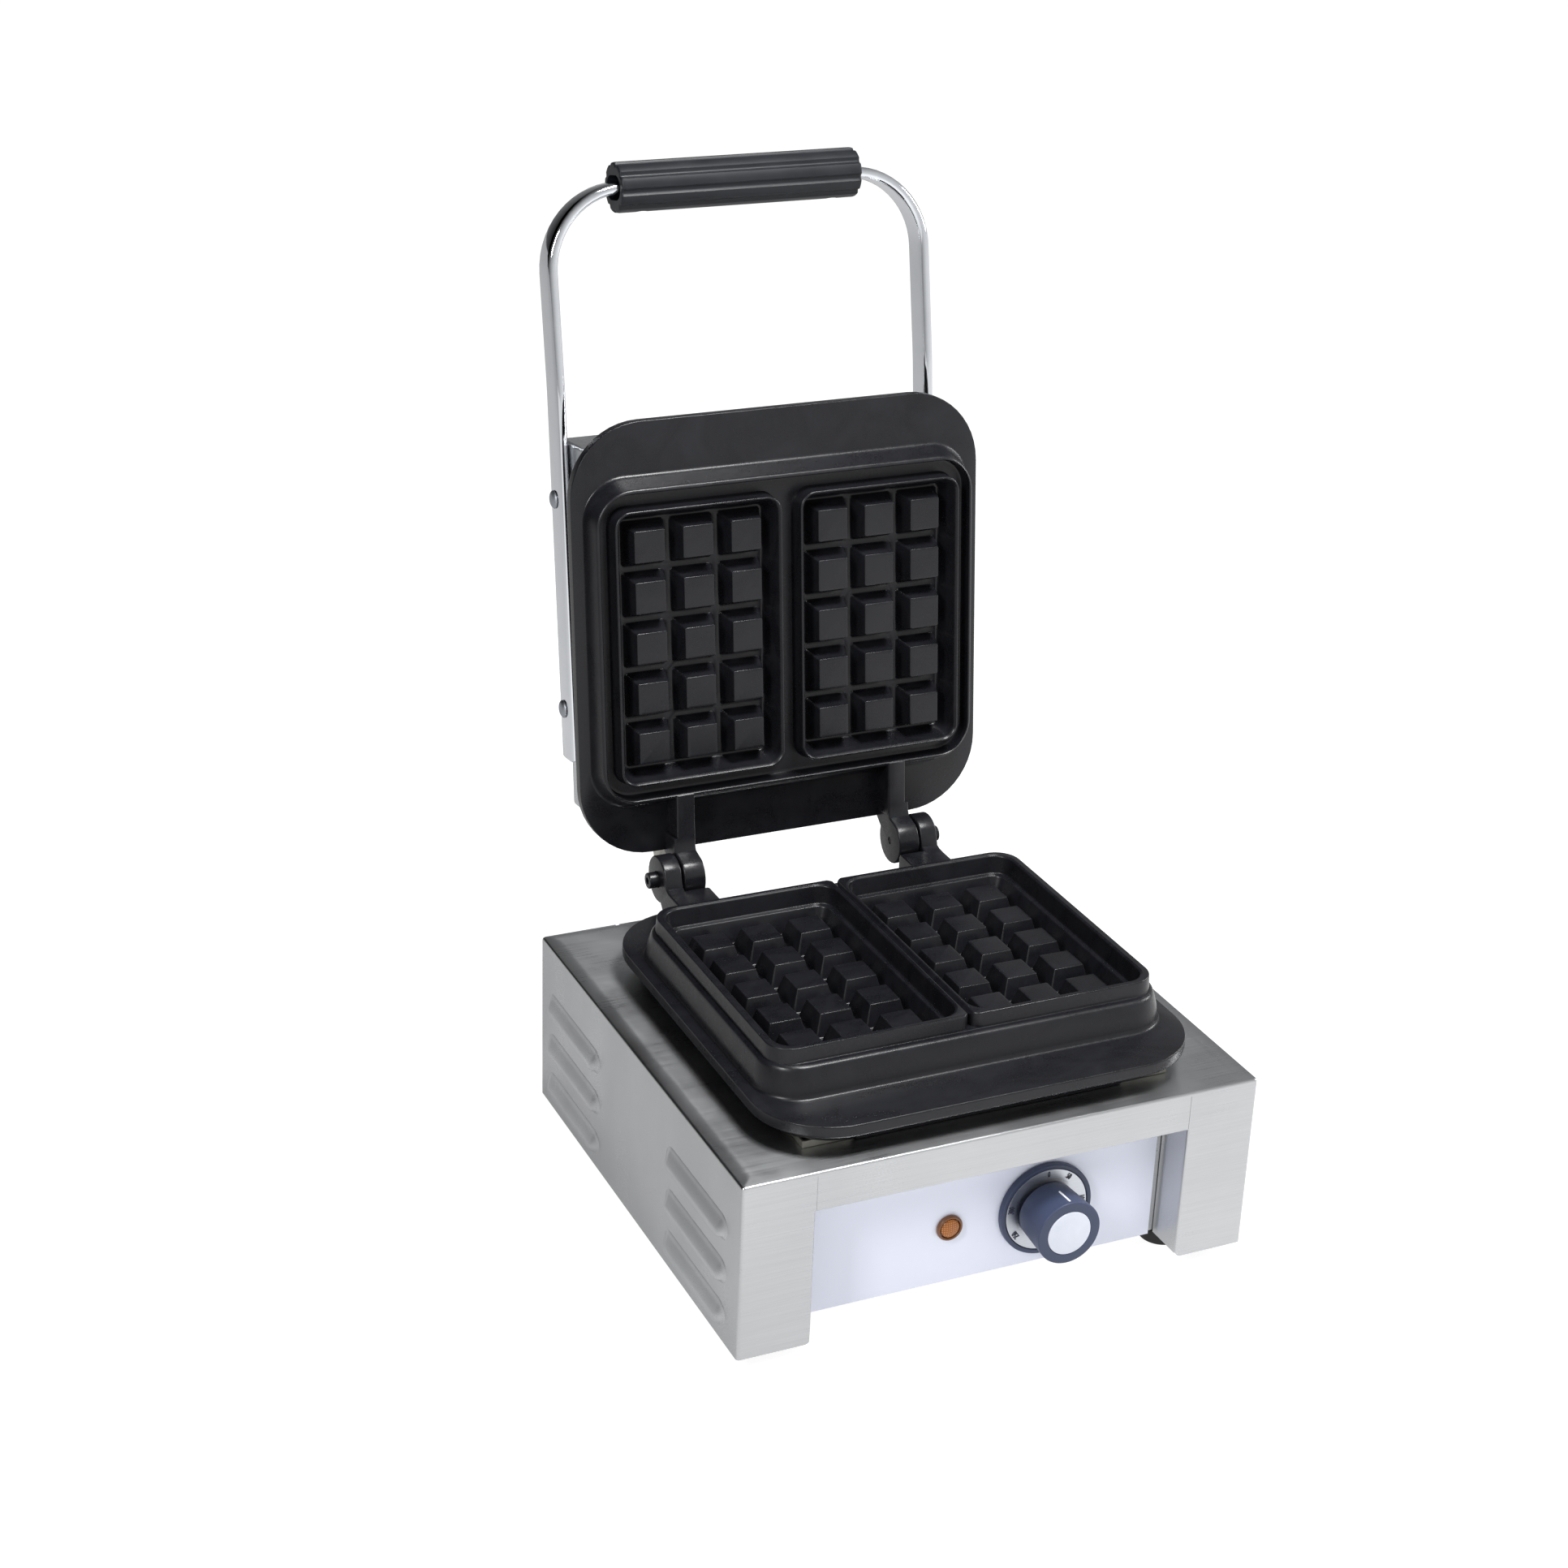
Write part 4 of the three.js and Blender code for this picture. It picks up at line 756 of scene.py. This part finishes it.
# ------------------------ housing
def louvre_shape(inner):
    """A pressed louvre, out along +Z: it slopes from its upper edge and is slit along its lower one."""
    length, height = LOUVRE_HALF
    if inner:
        hollow = loft([(height - 1, length - 1, height - 1, -3), (height - 1, length - 1, height - 1, -0.4),
                       (2.0, length - 7, 2.0, 2.4, 3.4, 0)], 8)
        slit = block(5, 10, -length + 9, length - 9, 0.7, 2.3)
        return add(hollow, slit)
    return loft(fillet(
        [(height + 1.6, length + 1.6, height + 1.6, -0.6), (height + 1.5, length + 1.5, height + 1.5, 0.02),
         (height - 0.6, length - 0.6, height - 0.6, 0.9, 0.5, 0), (height - 3.2, length - 3.6, height - 3.2,
                 3.0, 2.6, 0),
         (height - 5.2, length - 6.4, height - 5.2, LOUVRE_OUT - 0.1, 3.4, 0), (0.6, length - 8, 0.6,
                 LOUVRE_OUT, 3.4, 0)],
        [0, 0.3, 1.2, 2.4, 1.6, 0], 4), 10)


def louvres(inner):
    shape = louvre_shape(inner)
    found = []
    for side in (-1, 1):
        for y in LOUVRE_CENTRES_Y:
            for z in LOUVRE_HEIGHTS:
                turn = Matrix.Rotation(math.pi / 2, 4, "Y")
                if side < 0:
                    turn = Matrix.Diagonal((-1, 1, 1, 1)) @ turn
                copy = shape.copy()
                copy.transform(Matrix.Translation((side * WIDTH / 2, y, z)) @ turn)
                if side < 0:
                    copy.flip_normals()
                found.append(copy)
    return joined(found)


def housing():
    half, mid = WIDTH / 2, DEPTH / 2
    outer = loft(fillet([(half, mid, BEND, 0), (half, mid, BEND, HEIGHT),
                         (half - 12, mid - 12, BEND, HEIGHT)],
                        [0, BEND, 0], 6), 6)
    s = SHEET
    inner = loft([(half - s, mid - s, BEND - s, -1), (half - s, mid - s, BEND - s, HEIGHT - s)], 4)
    shell = moved(cut(outer, inner), (0, mid, 0))
    frame_outer = block(-LEG_INNER - s, LEG_INNER + s, 0.3, RETURN_DEPTH, 2, LEG_TOP + s)
    frame_inner = block(-LEG_INNER, LEG_INNER, -1, RETURN_DEPTH + 1, -2, LEG_TOP)
    shell = add(shell, cut(frame_outer, frame_inner))
    tall = 45.8  # half the height of the cut for the front opening, which starts below the legs
    opening = loft(fillet([(LEG_INNER + 2.4, tall + 2.4, 3.0, 1.0), (LEG_INNER + 1.0, tall + 1.0, 1.4, 0),
                           (LEG_INNER, tall, 0.6, -1.4), (LEG_INNER, tall, 0.6, -8)], [0, 0.8, 1.0,
                                   0], 4), 6)
    opening = moved(opening, (0, 0, LEG_TOP - tall), Z_TO_FRONT)
    shell = cut(shell, opening)
    corner_cut = []
    for side in (-1, 1):
        left, right = sorted((side * (LEG_INNER - 0.5), side * (LEG_INNER + 4.5)))
        square = block(left, right, -1, 1.6, -1, 4)
        round_off = moved(drill(4, 3, 32), (side * (LEG_INNER + 4), 0, 4), Z_TO_FRONT)
        corner_cut.append(cut(square, round_off))
    shell = cut(shell, joined(corner_cut))
    rear_opening = block(-half + 12, half - 12, DEPTH - 4, DEPTH + 4, -1, HEIGHT - 14)
    shell = cut(shell, rear_opening)
    bottom_flanges = [block(half - 12, half - s / 2, RETURN_DEPTH + 3, DEPTH - 1, 0, s),
                      block(-half + s / 2, -half + 12, RETURN_DEPTH + 3, DEPTH - 1, 0, s)]
    shell = add(shell, joined(bottom_flanges))
    seams = [block(x - 0.18, x + 0.18, -1, 0.22, LEG_TOP + 1.5, HEIGHT - 2.5) for x in (-LEG_INNER,
            LEG_INNER)]
    back_notches = [block(x - 1.5, x + 1.5, DEPTH - 2.4, DEPTH + 1, HEIGHT - 3, HEIGHT + 1)
                    for x in (-BACK_NOTCH_X, BACK_NOTCH_X)]
    top_opening = loft([(60, 60, 6, HEIGHT - 5, 0, 150), (60, 60, 6, HEIGHT + 5, 0, 150)], 6)
    shell = cut(shell, joined(seams + back_notches), top_opening)
    shell = add(shell, louvres(False))
    shell = cut(shell, louvres(True))
    screw_holes = [moved(drill(2.2, 5, 20), (x, DEPTH, z), Z_TO_FRONT)
                   for x in (-REAR_SCREW_X, REAR_SCREW_X) for z in REAR_SCREW_Z]
    return cut(shell, joined(screw_holes))


def make_housing():
    add_object("housing_sheet", smooth(housing(), 38), HOUSING_FRAME, STEEL_SHEET, "base", "stainless",
               "housing")


# ------------------------ lid sheet, handle and grip
def lid_cover():
    hx, hy = COVER_HALF
    outer = loft(fillet([(hx - 14, hy - 14, 1.5, COVER_BACK), (hx, hy, 2.4, COVER_BACK),
                         (hx, hy, 2.4, COVER_FRONT)],
                        [0, 2.2, 0], 6), 6)
    inner = loft([(hx - 1, hy - 1, 1.6, -75.3), (hx - 1, hy - 1, 1.6, -31)], 4)
    gland = moved(drill(8.3, 5, 32), (-CONDUIT_LID[0], hy, CONDUIT_LID[1]), Z_TO_FRONT)
    bolts = [moved(drill(3.3, 4, 24), (0, y, -76)) for y in COVER_BOLT_Y]
    rivet_holes = [moved(drill(2.8, 4, 24), (side * hx, y, bar_depth(y) - RIVET_BACK), Z_TO_RIGHT)
                   for side in (-1, 1) for y in RIVET_Y]
    return cut(outer, inner, gland, joined(bolts), joined(rivet_holes))


def bar_depth(y):
    """Depth of the bar's middle: it leans back a little, and more beyond its bend."""
    straight = BAR_LOWER_Y - max(y, BAR_BEND_Y)
    bent = max(0.0, BAR_BEND_Y - y)
    return BAR_DEPTH - BAR_TILT * straight - BAR_LEAN * bent


def handle_route():
    """Centre line of the bar from its +X end: straight, a slight lean back, a quarter circle, the grip."""
    side = [(BAR_X, y, bar_depth(y)) for y in (BAR_LOWER_Y, 40, -10, -60, -110, -140, -152, -160, -172,
            -200, -215)]
    for k in range(15):
        angle = math.pi / 2 * k / 14
        y = ARC_Y - ARC_RADIUS * math.sin(angle)
        side.append((BAR_X - ARC_RADIUS * (1 - math.cos(angle)), y, bar_depth(y)))
    side += [(x, GRIP_Y, bar_depth(GRIP_Y)) for x in (60, 30)]
    return [Vector(p) for p in side] + [Vector((-x, y, z)) for x, y, z in reversed(side)]


def bar_mesh():
    """Sweeps the bar's flat-sided section with half-round edges along the handle's route."""
    half_thick, half_deep = BAR_HALF
    straight = half_deep - half_thick
    section = []
    for centre, start in ((straight, -90), (-straight, 90)):
        for k in range(9):
            angle = math.radians(start + 180 * k / 8)
            section.append((centre + half_thick * math.cos(angle), half_thick * math.sin(angle)))
    route = handle_route()
    bm = bmesh.new()
    rows = []
    for index, point in enumerate(route):
        ahead = (route[min(index + 1, len(route) - 1)] - route[max(index - 1, 0)]).normalized()
        across = ahead.cross(Vector((0, -BAR_LEAN if point.y < BAR_BEND_Y else -BAR_TILT, 1))).normalized()
        deep = across.cross(ahead).normalized()
        rows.append([bm.verts.new(point + deep * a + across * b) for a, b in section])
    skin(bm, rows)
    for row, end in ((rows[0], 1), (rows[-1], -1)):
        inner = [bm.verts.new(v.co * 0.86 + sum((w.co for w in row), Vector()) / len(row) * 0.14
                              + Vector((0, 1.1, 0))) for v in row]
        for k in range(len(row)):
            n = (k + 1) % len(row)
            bm.faces.new((row[k], row[n], inner[n], inner[k]) if end < 0 else (row[n], row[k], inner[k],
                    inner[n]))
        bm.faces.new(inner)
    return mesh_from(bm)


GRIP_PLACE = Matrix.Translation((0, GRIP_Y, bar_depth(GRIP_Y))) @ Matrix.Rotation(math.atan(BAR_LEAN), 4,
        "X")


def grip_mesh():
    """A fluted moulding: lands parted by round grooves, rounded ends, oval mouths and two screw pockets."""
    outline = []
    per_land = 14
    for k in range(GRIP_LANDS * per_land):
        phase = (k % per_land) / per_land
        to_groove = min(phase, 1 - phase) * 2
        groove = 1.5 * max(0.0, 1 - (to_groove / 0.42) ** 2) if to_groove < 0.42 else 0.0
        angle = 2 * math.pi * k / (GRIP_LANDS * per_land)
        outline.append((angle, GRIP_RADIUS - groove))
    stations = fillet([(0, 0.80), (0, 0.97), (1.6, 1.0), (2 * GRIP_HALF - 1.6, 1.0), (2 * GRIP_HALF, 0.97),
                       (2 * GRIP_HALF, 0.80)],
                      [0, 0.9, 0.9, 0.9, 0.9, 0], 3)
    bm = bmesh.new()
    rows = [[bm.verts.new((x - GRIP_HALF, share * radius * math.cos(angle),
                           share * radius * math.sin(angle)))
             for angle, radius in outline] for x, share in stations]
    skin(bm, rows)
    close_ends(bm, rows)
    body = mesh_from(bm)
    hollow = loft([(10.4, 4.0, 3.9, -GRIP_HALF - 2), (10.4, 4.0, 3.9, GRIP_HALF + 2)], 6)
    hollow = moved(hollow, turn=Z_TO_RIGHT)
    mouth = loft(fillet([(11.0, 7.4, 7.0, -22), (11.4, 7.8, 7.4, 0.4), (12.6, 9.0, 8.6, 1.6)], [0, 0.8, 0],
                        4), 10)
    tools = [hollow]
    for side in (-1, 1):
        tools.append(moved(mouth, (side * GRIP_HALF, 0, 0), (0, side * math.pi / 2, 0)))
        pocket = turned([(0, 8), (4.2, 8), (4.2, 14), (4.8, 18), (0, 18)], 32)
        screw_hole = turned([(0, -8), (2, -8), (2, 9), (0, 9)], 20)
        tools += [moved(tool, (side * GRIP_SCREW_X, 0, 0), Z_TO_BACK) for tool in (pocket, screw_hole)]
    return cut(body, *tools)


def make_lid():
    add_object("lid_cover_sheet", smooth(lid_cover(), 38), LID_FRAME, STEEL_LID, "lid", "stainless",
               "lid_cover")
    add_object("handle_bar_chrome", smooth(bar_mesh(), 40), LID_FRAME, CHROME, "lid", "chrome",
               "handle_bar")
    grip = smooth(grip_mesh(), 35)
    add_object("handle_grip_moulding", grip, LID_FRAME @ GRIP_PLACE, GRIP_BLACK, "lid", "black_plastic",
               "handle_grip")


# ------------------------ controls
def facing_front(profile, x, z, sides=96, ring=False):
    """A turned piece on an axis along Y; the profile holds (radius, y)."""
    shape = (ring_turned if ring else turned)([(radius, -y) for radius, y in profile], sides)
    return moved(shape, (x, 0, z), Z_TO_FRONT)


def rounded_profile(points, size, segments=4):
    """The profile with all its inner corners rounded alike."""
    return fillet(points, [0] + [size] * (len(points) - 2) + [0], segments)


def base_piece(name, shape, material, body, slot, *replaced):
    return add_object(name, smooth(shape, 30), HOUSING_FRAME, material, body, slot, *replaced)


def scale_y(radius):
    return SCALE_FRONT + SCALE_DISH * (SCALE_OUTER - radius) / (SCALE_OUTER - SCALE_INNER)


def curve_mesh(curve):
    holder = bpy.data.objects.new("curve", curve)
    bpy.context.scene.collection.objects.link(holder)
    bpy.context.view_layer.update()
    data = bpy.data.meshes.new_from_object(holder.evaluated_get(bpy.context.evaluated_depsgraph_get()))
    bpy.data.objects.remove(holder)
    return data


def digit_mesh(text, size):
    """Flat printed figures, standing a hair proud of what they are on."""
    curve = bpy.data.curves.new("figures", "FONT")
    curve.body = text
    curve.size = size
    curve.align_x = "CENTER"
    curve.align_y = "CENTER"
    curve.extrude = 0.22
    curve.resolution_u = 4
    return curve_mesh(curve)


def dial_marks():
    marks = []
    for text, degrees in SCALE_MARKS:
        angle = math.radians(degrees)
        figures = moved(digit_mesh(text, MARK_SIZE), scale=(MARK_WIDTH, 1, 1))
        figures.transform(Matrix.Rotation(math.pi / 2, 4, "X"))
        figures.transform(Matrix.Rotation(angle, 4, "Y"))
        across, up = MARK_RADIUS * math.sin(angle), MARK_RADIUS * math.cos(angle)
        figures.transform(Matrix.Translation((DIAL_X + across, scale_y(MARK_RADIUS) - 0.25, DIAL_Z + up)))
        marks.append(figures)
    return joined(marks)


def make_controls():
    back = PANEL_Y - 0.3
    rim = rounded_profile([(29.2, back), (30.8, back), (30.8, 21.8), (27.7, 21.8), (27.7, back)], 0.9)
    base_piece("dial_rim_ring", facing_front(rim, DIAL_X, DIAL_Z, ring=True), NAVY,
                  "base", "navy_plastic", "dial_rim")
    scale = rounded_profile([(12, back), (SCALE_OUTER, back), (SCALE_OUTER, SCALE_FRONT),
                             (SCALE_INNER, SCALE_FRONT + SCALE_DISH),
                             (5.6, SCALE_FRONT + SCALE_DISH), (5.6, back)], 0.25, 3)
    base_piece("scale_disc", facing_front(scale, DIAL_X, DIAL_Z, ring=True), SILVER_PRINT,
                  "base", "silver_print", "scale_ring")
    base_piece("scale_figures", dial_marks(), NAVY_PRINT, "base", "navy_plastic")
    knob = fillet([(0, -5.2), (14.7, -5.2), (14.7, -6), (21, -6), (20.8, -2), (19.2, 21.2), (3.4, 21.2),
                   (3.4, -1), (0, -1)],
                  [0, 0.1, 0.25, 0.9, 0, 0.6, 0, 0, 0], 5)
    base_piece("knob_body", facing_front(knob, DIAL_X, DIAL_Z), NAVY, "dial_knob", "navy_plastic", "knob")
    cap = fillet([(0, -6.2), (14.4, -6.2), (14.4, -5.5), (0, -5.5)], [0, 0.3, 0, 0], 4)
    base_piece("knob_disc", facing_front(cap, DIAL_X, DIAL_Z), PALE, "dial_knob", "pale_inlay", "knob_cap")
    line = loft(fillet([(0.6, 6.6, 0.5, 20.0), (0.6, 6.6, 0.5, 20.98), (0.35, 6.4, 0.3, 21.02)],
                       [0, 0.05, 0], 2), 6)
    line = moved(line, (0, 0, -20.6), (-KNOB_TAPER, 0, 0))
    base_piece("knob_pointer", moved(line, (DIAL_X, 1.4, DIAL_Z + 20.42)), WHITE_MARK, "dial_knob",
               "pale_inlay")
    bezel = rounded_profile([(7.6, back), (8.5, back), (8.5, back - 1.6), (7.9, back - 2.6),
                             (6.9, back - 2.6), (6.6, back - 1.6),
                             (6.6, back)], 0.5)
    base_piece("pilot_bezel_ring", facing_front(bezel, PILOT_X, PILOT_Z, 64, True), AMBER_BEZEL,
                  "base", "amber_bezel", "pilot_bezel")
    lens = fillet([(0, back - 3.5), (3.4, back - 3.3), (6.2, back - 2.2), (6.2, back), (0, back)],
                  [0, 2.0, 0.8, 0, 0], 5)
    base_piece("pilot_lens_dome", facing_front(lens, PILOT_X, PILOT_Z, 64), AMBER, "base", "amber_lens",
               "pilot_lens")


# ------------------------ feet, pins, rivets, glands and conduit
def make_feet():
    profile = rounded_profile([(4.6, -2), (5.4, -2), (5.4, -9), (14.0, -9), (15.7, -0.2), (15.7, 1.2),
                               (2.7, 1.2), (2.7, -2)], 0.9)
    for where, x, y in (("front_left", -FOOT_X, FOOT_FRONT_Y), ("front_right", FOOT_X, FOOT_FRONT_Y),
                        ("rear_left", -FOOT_X, FOOT_REAR_Y), ("rear_right", FOOT_X, FOOT_REAR_Y)):
        shape = moved(ring_turned(profile, 64), (x, y, 0))
        base_piece(f"rubber_foot_{where}", shape, RUBBER, "base", "rubber", f"foot_{where}")


def make_hinge_pins():
    profile = fillet([(0, UPPER_EAR[0] + 6), (PIN_RADIUS, UPPER_EAR[0] + 6), (PIN_RADIUS, PIN_END),
                      (0, PIN_END)],
                     [0, 0.8, 0.9, 0], 4)
    socket = turned([(0, PIN_END - 3), (2.6, PIN_END - 3), (2.6, PIN_END + 1), (0, PIN_END + 1)], 6)
    pin = cut(turned(profile, 48), socket)
    axis_y = PLATE_Y + HINGE_LOCAL[0]
    axis_z = STUD_Z + HINGE_LOCAL[1]
    for side, where in ((-1, "left"), (1, "right")):
        shape = moved(pin, (0, axis_y, axis_z), (0, side * math.pi / 2, 0))
        base_piece(f"hinge_pin_turned_{where}", shape, ENAMEL, "base", "cast_iron", f"hinge_pin_{where}")


def lid_piece(name, shape, material, slot, *replaced):
    return add_object(name, smooth(shape, 30), LID_FRAME, material, "lid", slot, *replaced)


def make_lid_fasteners():
    face = BAR_X + BAR_HALF[0] + 0.3
    inside = COVER_HALF[0] - 1
    head = fillet([(0, inside - 3), (4.2, inside - 3), (4.2, inside - 0.3), (2.5, inside - 0.3),
                   (2.5, face), (6.0, face),
                   (5.6, face + 1.1), (3.6, face + 2.2), (0, face + 2.5)], [0, 0.6, 0, 0, 0, 0.3, 1.0, 1.6,
                           0], 4)
    rivet = turned(head, 48)
    for side, where in ((1, "left"), (-1, "right")):
        for y, end in zip(RIVET_Y, ("front", "rear")):
            shape = moved(rivet, (0, y, bar_depth(y) - RIVET_BACK), (0, side * math.pi / 2, 0))
            lid_piece(f"rivet_{where}_{end}", shape, RIVET_GREY, "chrome", f"handle_rivet_{where}_{end}")
    face = COVER_BACK - 0.3
    bolt = fillet([(0, -23), (3, -23), (3, face), (6.5, face), (6.5, face - 3.4), (5.0, face - 6.6),
                   (2.6, face - 7.8),
                   (0, face - 8)], [0, 0.5, 0, 0.2, 1.2, 2.0, 1.0, 0], 5)
    for y, end in zip(COVER_BOLT_Y, ("front", "rear")):
        lid_piece(f"dome_nut_{end}", moved(turned(bolt, 48), (0, y, 0)), ZINC, "zinc", f"cover_bolt_{end}")


def gland_ring(points):
    return ring_turned(fillet(points, [0] + [0.7] * (len(points) - 2) + [0], 3), 56)


def make_glands():
    wall = DEPTH - SHEET
    rear = gland_ring([(5.5, wall - 12), (8, wall - 12), (8, wall + 0.3), (11, wall + 0.3), (11, wall + 5),
                       (9, wall + 8),
                       (4.5, wall + 8), (4.5, wall - 12)])
    base_piece("conduit_collar_rear", moved(rear, (CONDUIT_REAR[0], 0, CONDUIT_REAR[1]), Z_TO_BACK), ZINC,
                  "base", "zinc", "conduit_gland_rear")
    wall = COVER_HALF[1]
    lid = gland_ring([(5.5, wall - 11), (8, wall - 11), (8, wall + 0.3), (10.5, wall + 0.3),
                      (10.5, wall + 4),
                      (8.7, wall + 7), (4.5, wall + 7), (4.5, wall - 11)])
    lid_piece("conduit_collar_lid", moved(lid, (-CONDUIT_LID[0], 0, CONDUIT_LID[1]), Z_TO_BACK), ZINC,
              "zinc", "conduit_gland_lid")
    wall = DEPTH
    inlet = gland_ring([(6, wall - 14), (8.4, wall - 14), (8.4, wall + 0.3), (13, wall + 0.3),
                        (13, wall + 6), (10.5, wall + 8),
                        (10, wall + 16), (7.5, wall + 19), (4, wall + 19), (4, wall - 14)])
    base_piece("mains_gland_body", moved(inlet, (MAINS_GLAND[0], 0, MAINS_GLAND[1]), Z_TO_BACK),
               PLASTIC_BLACK, "base", "black_plastic", "cable_gland")


def lid_point(x, y, z):
    """A point of the open lid, from the upper plate's coordinates, in housing millimetres."""
    return HOUSING_FRAME.inverted() @ (LID_FRAME @ Vector((x, y, z)))


def make_conduit():
    """The wires' sleeve: a smooth curve along the same points as its CAD tube, its end placed at the lid as
    it stands.
    """
    reach = COVER_HALF[1] + 7.8
    x, z = -CONDUIT_LID[0], CONDUIT_LID[1]
    route = [Vector(p) for p in ((CONDUIT_REAR[0], DEPTH - SHEET + 8.6, CONDUIT_REAR[1]),
                                 (CONDUIT_REAR[0], 346, CONDUIT_REAR[1]),
                                 (-43, 374, 53), (-46, 397, 72), (-51, 402, 102), (-60, 388, 132), (-69,
                                         374, 154))]
    route += [lid_point(x, reach + 4, z), lid_point(x, reach, z)]
    curve = bpy.data.curves.new("conduit", "CURVE")
    curve.dimensions = "3D"
    curve.bevel_depth = 6.4
    curve.bevel_resolution = 6
    curve.use_fill_caps = True
    spline = curve.splines.new("NURBS")
    spline.points.add(len(route) - 1)
    for point, place in zip(spline.points, route):
        point.co = (*place, 1)
    spline.order_u = 3
    spline.resolution_u = 8
    spline.use_endpoint_u = True
    bm = bmesh.new()
    bm.from_mesh(curve_mesh(curve))
    tube = mesh_from(bm)
    tube.transform(HOUSING_FRAME)
    piece = add_object("conduit_sleeve", smooth(tube, 40), Matrix.Identity(4), SLEEVE, None, "pale_sleeve",
                       "lid_conduit")
    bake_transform(piece)


# ------------------------ CAD nodes that keep their shape
def finish_nodes():
    """A material for every CAD node, those that a piece replaces and that are not shown included."""
    finishes = {
        GALVANISED: ("rear_panel", "base_plate", "lower_element_clamp", "upper_element_clamp"),
        STEEL_SHEET: ("control_panel",),
        TRAY_STEEL: ("heat_tray",),
        WHITE_FILM: ("panel_overlay",),
        PALE: ("terminal_block",),
        BAKELITE: ("thermostat",),
        COPPER: ("thermostat_bulb",),
        PLASTIC_BLACK: ("pilot_body", "gland_nut"),
        ELEMENT: ("lower_element", "upper_element"),
        WOOL: ("lid_insulation",),
    }
    finished = {name: material for material, names in finishes.items() for name in names}
    for name, node in NODES.items():
        node.data.materials.clear()
        node.data.materials.append(finished.get(name, ZINC))


make_camera()
make_studio()
finish_nodes()
make_castings()
make_housing()
make_lid()
make_controls()
make_feet()
make_hinge_pins()
make_lid_fasteners()
make_glands()
make_conduit()
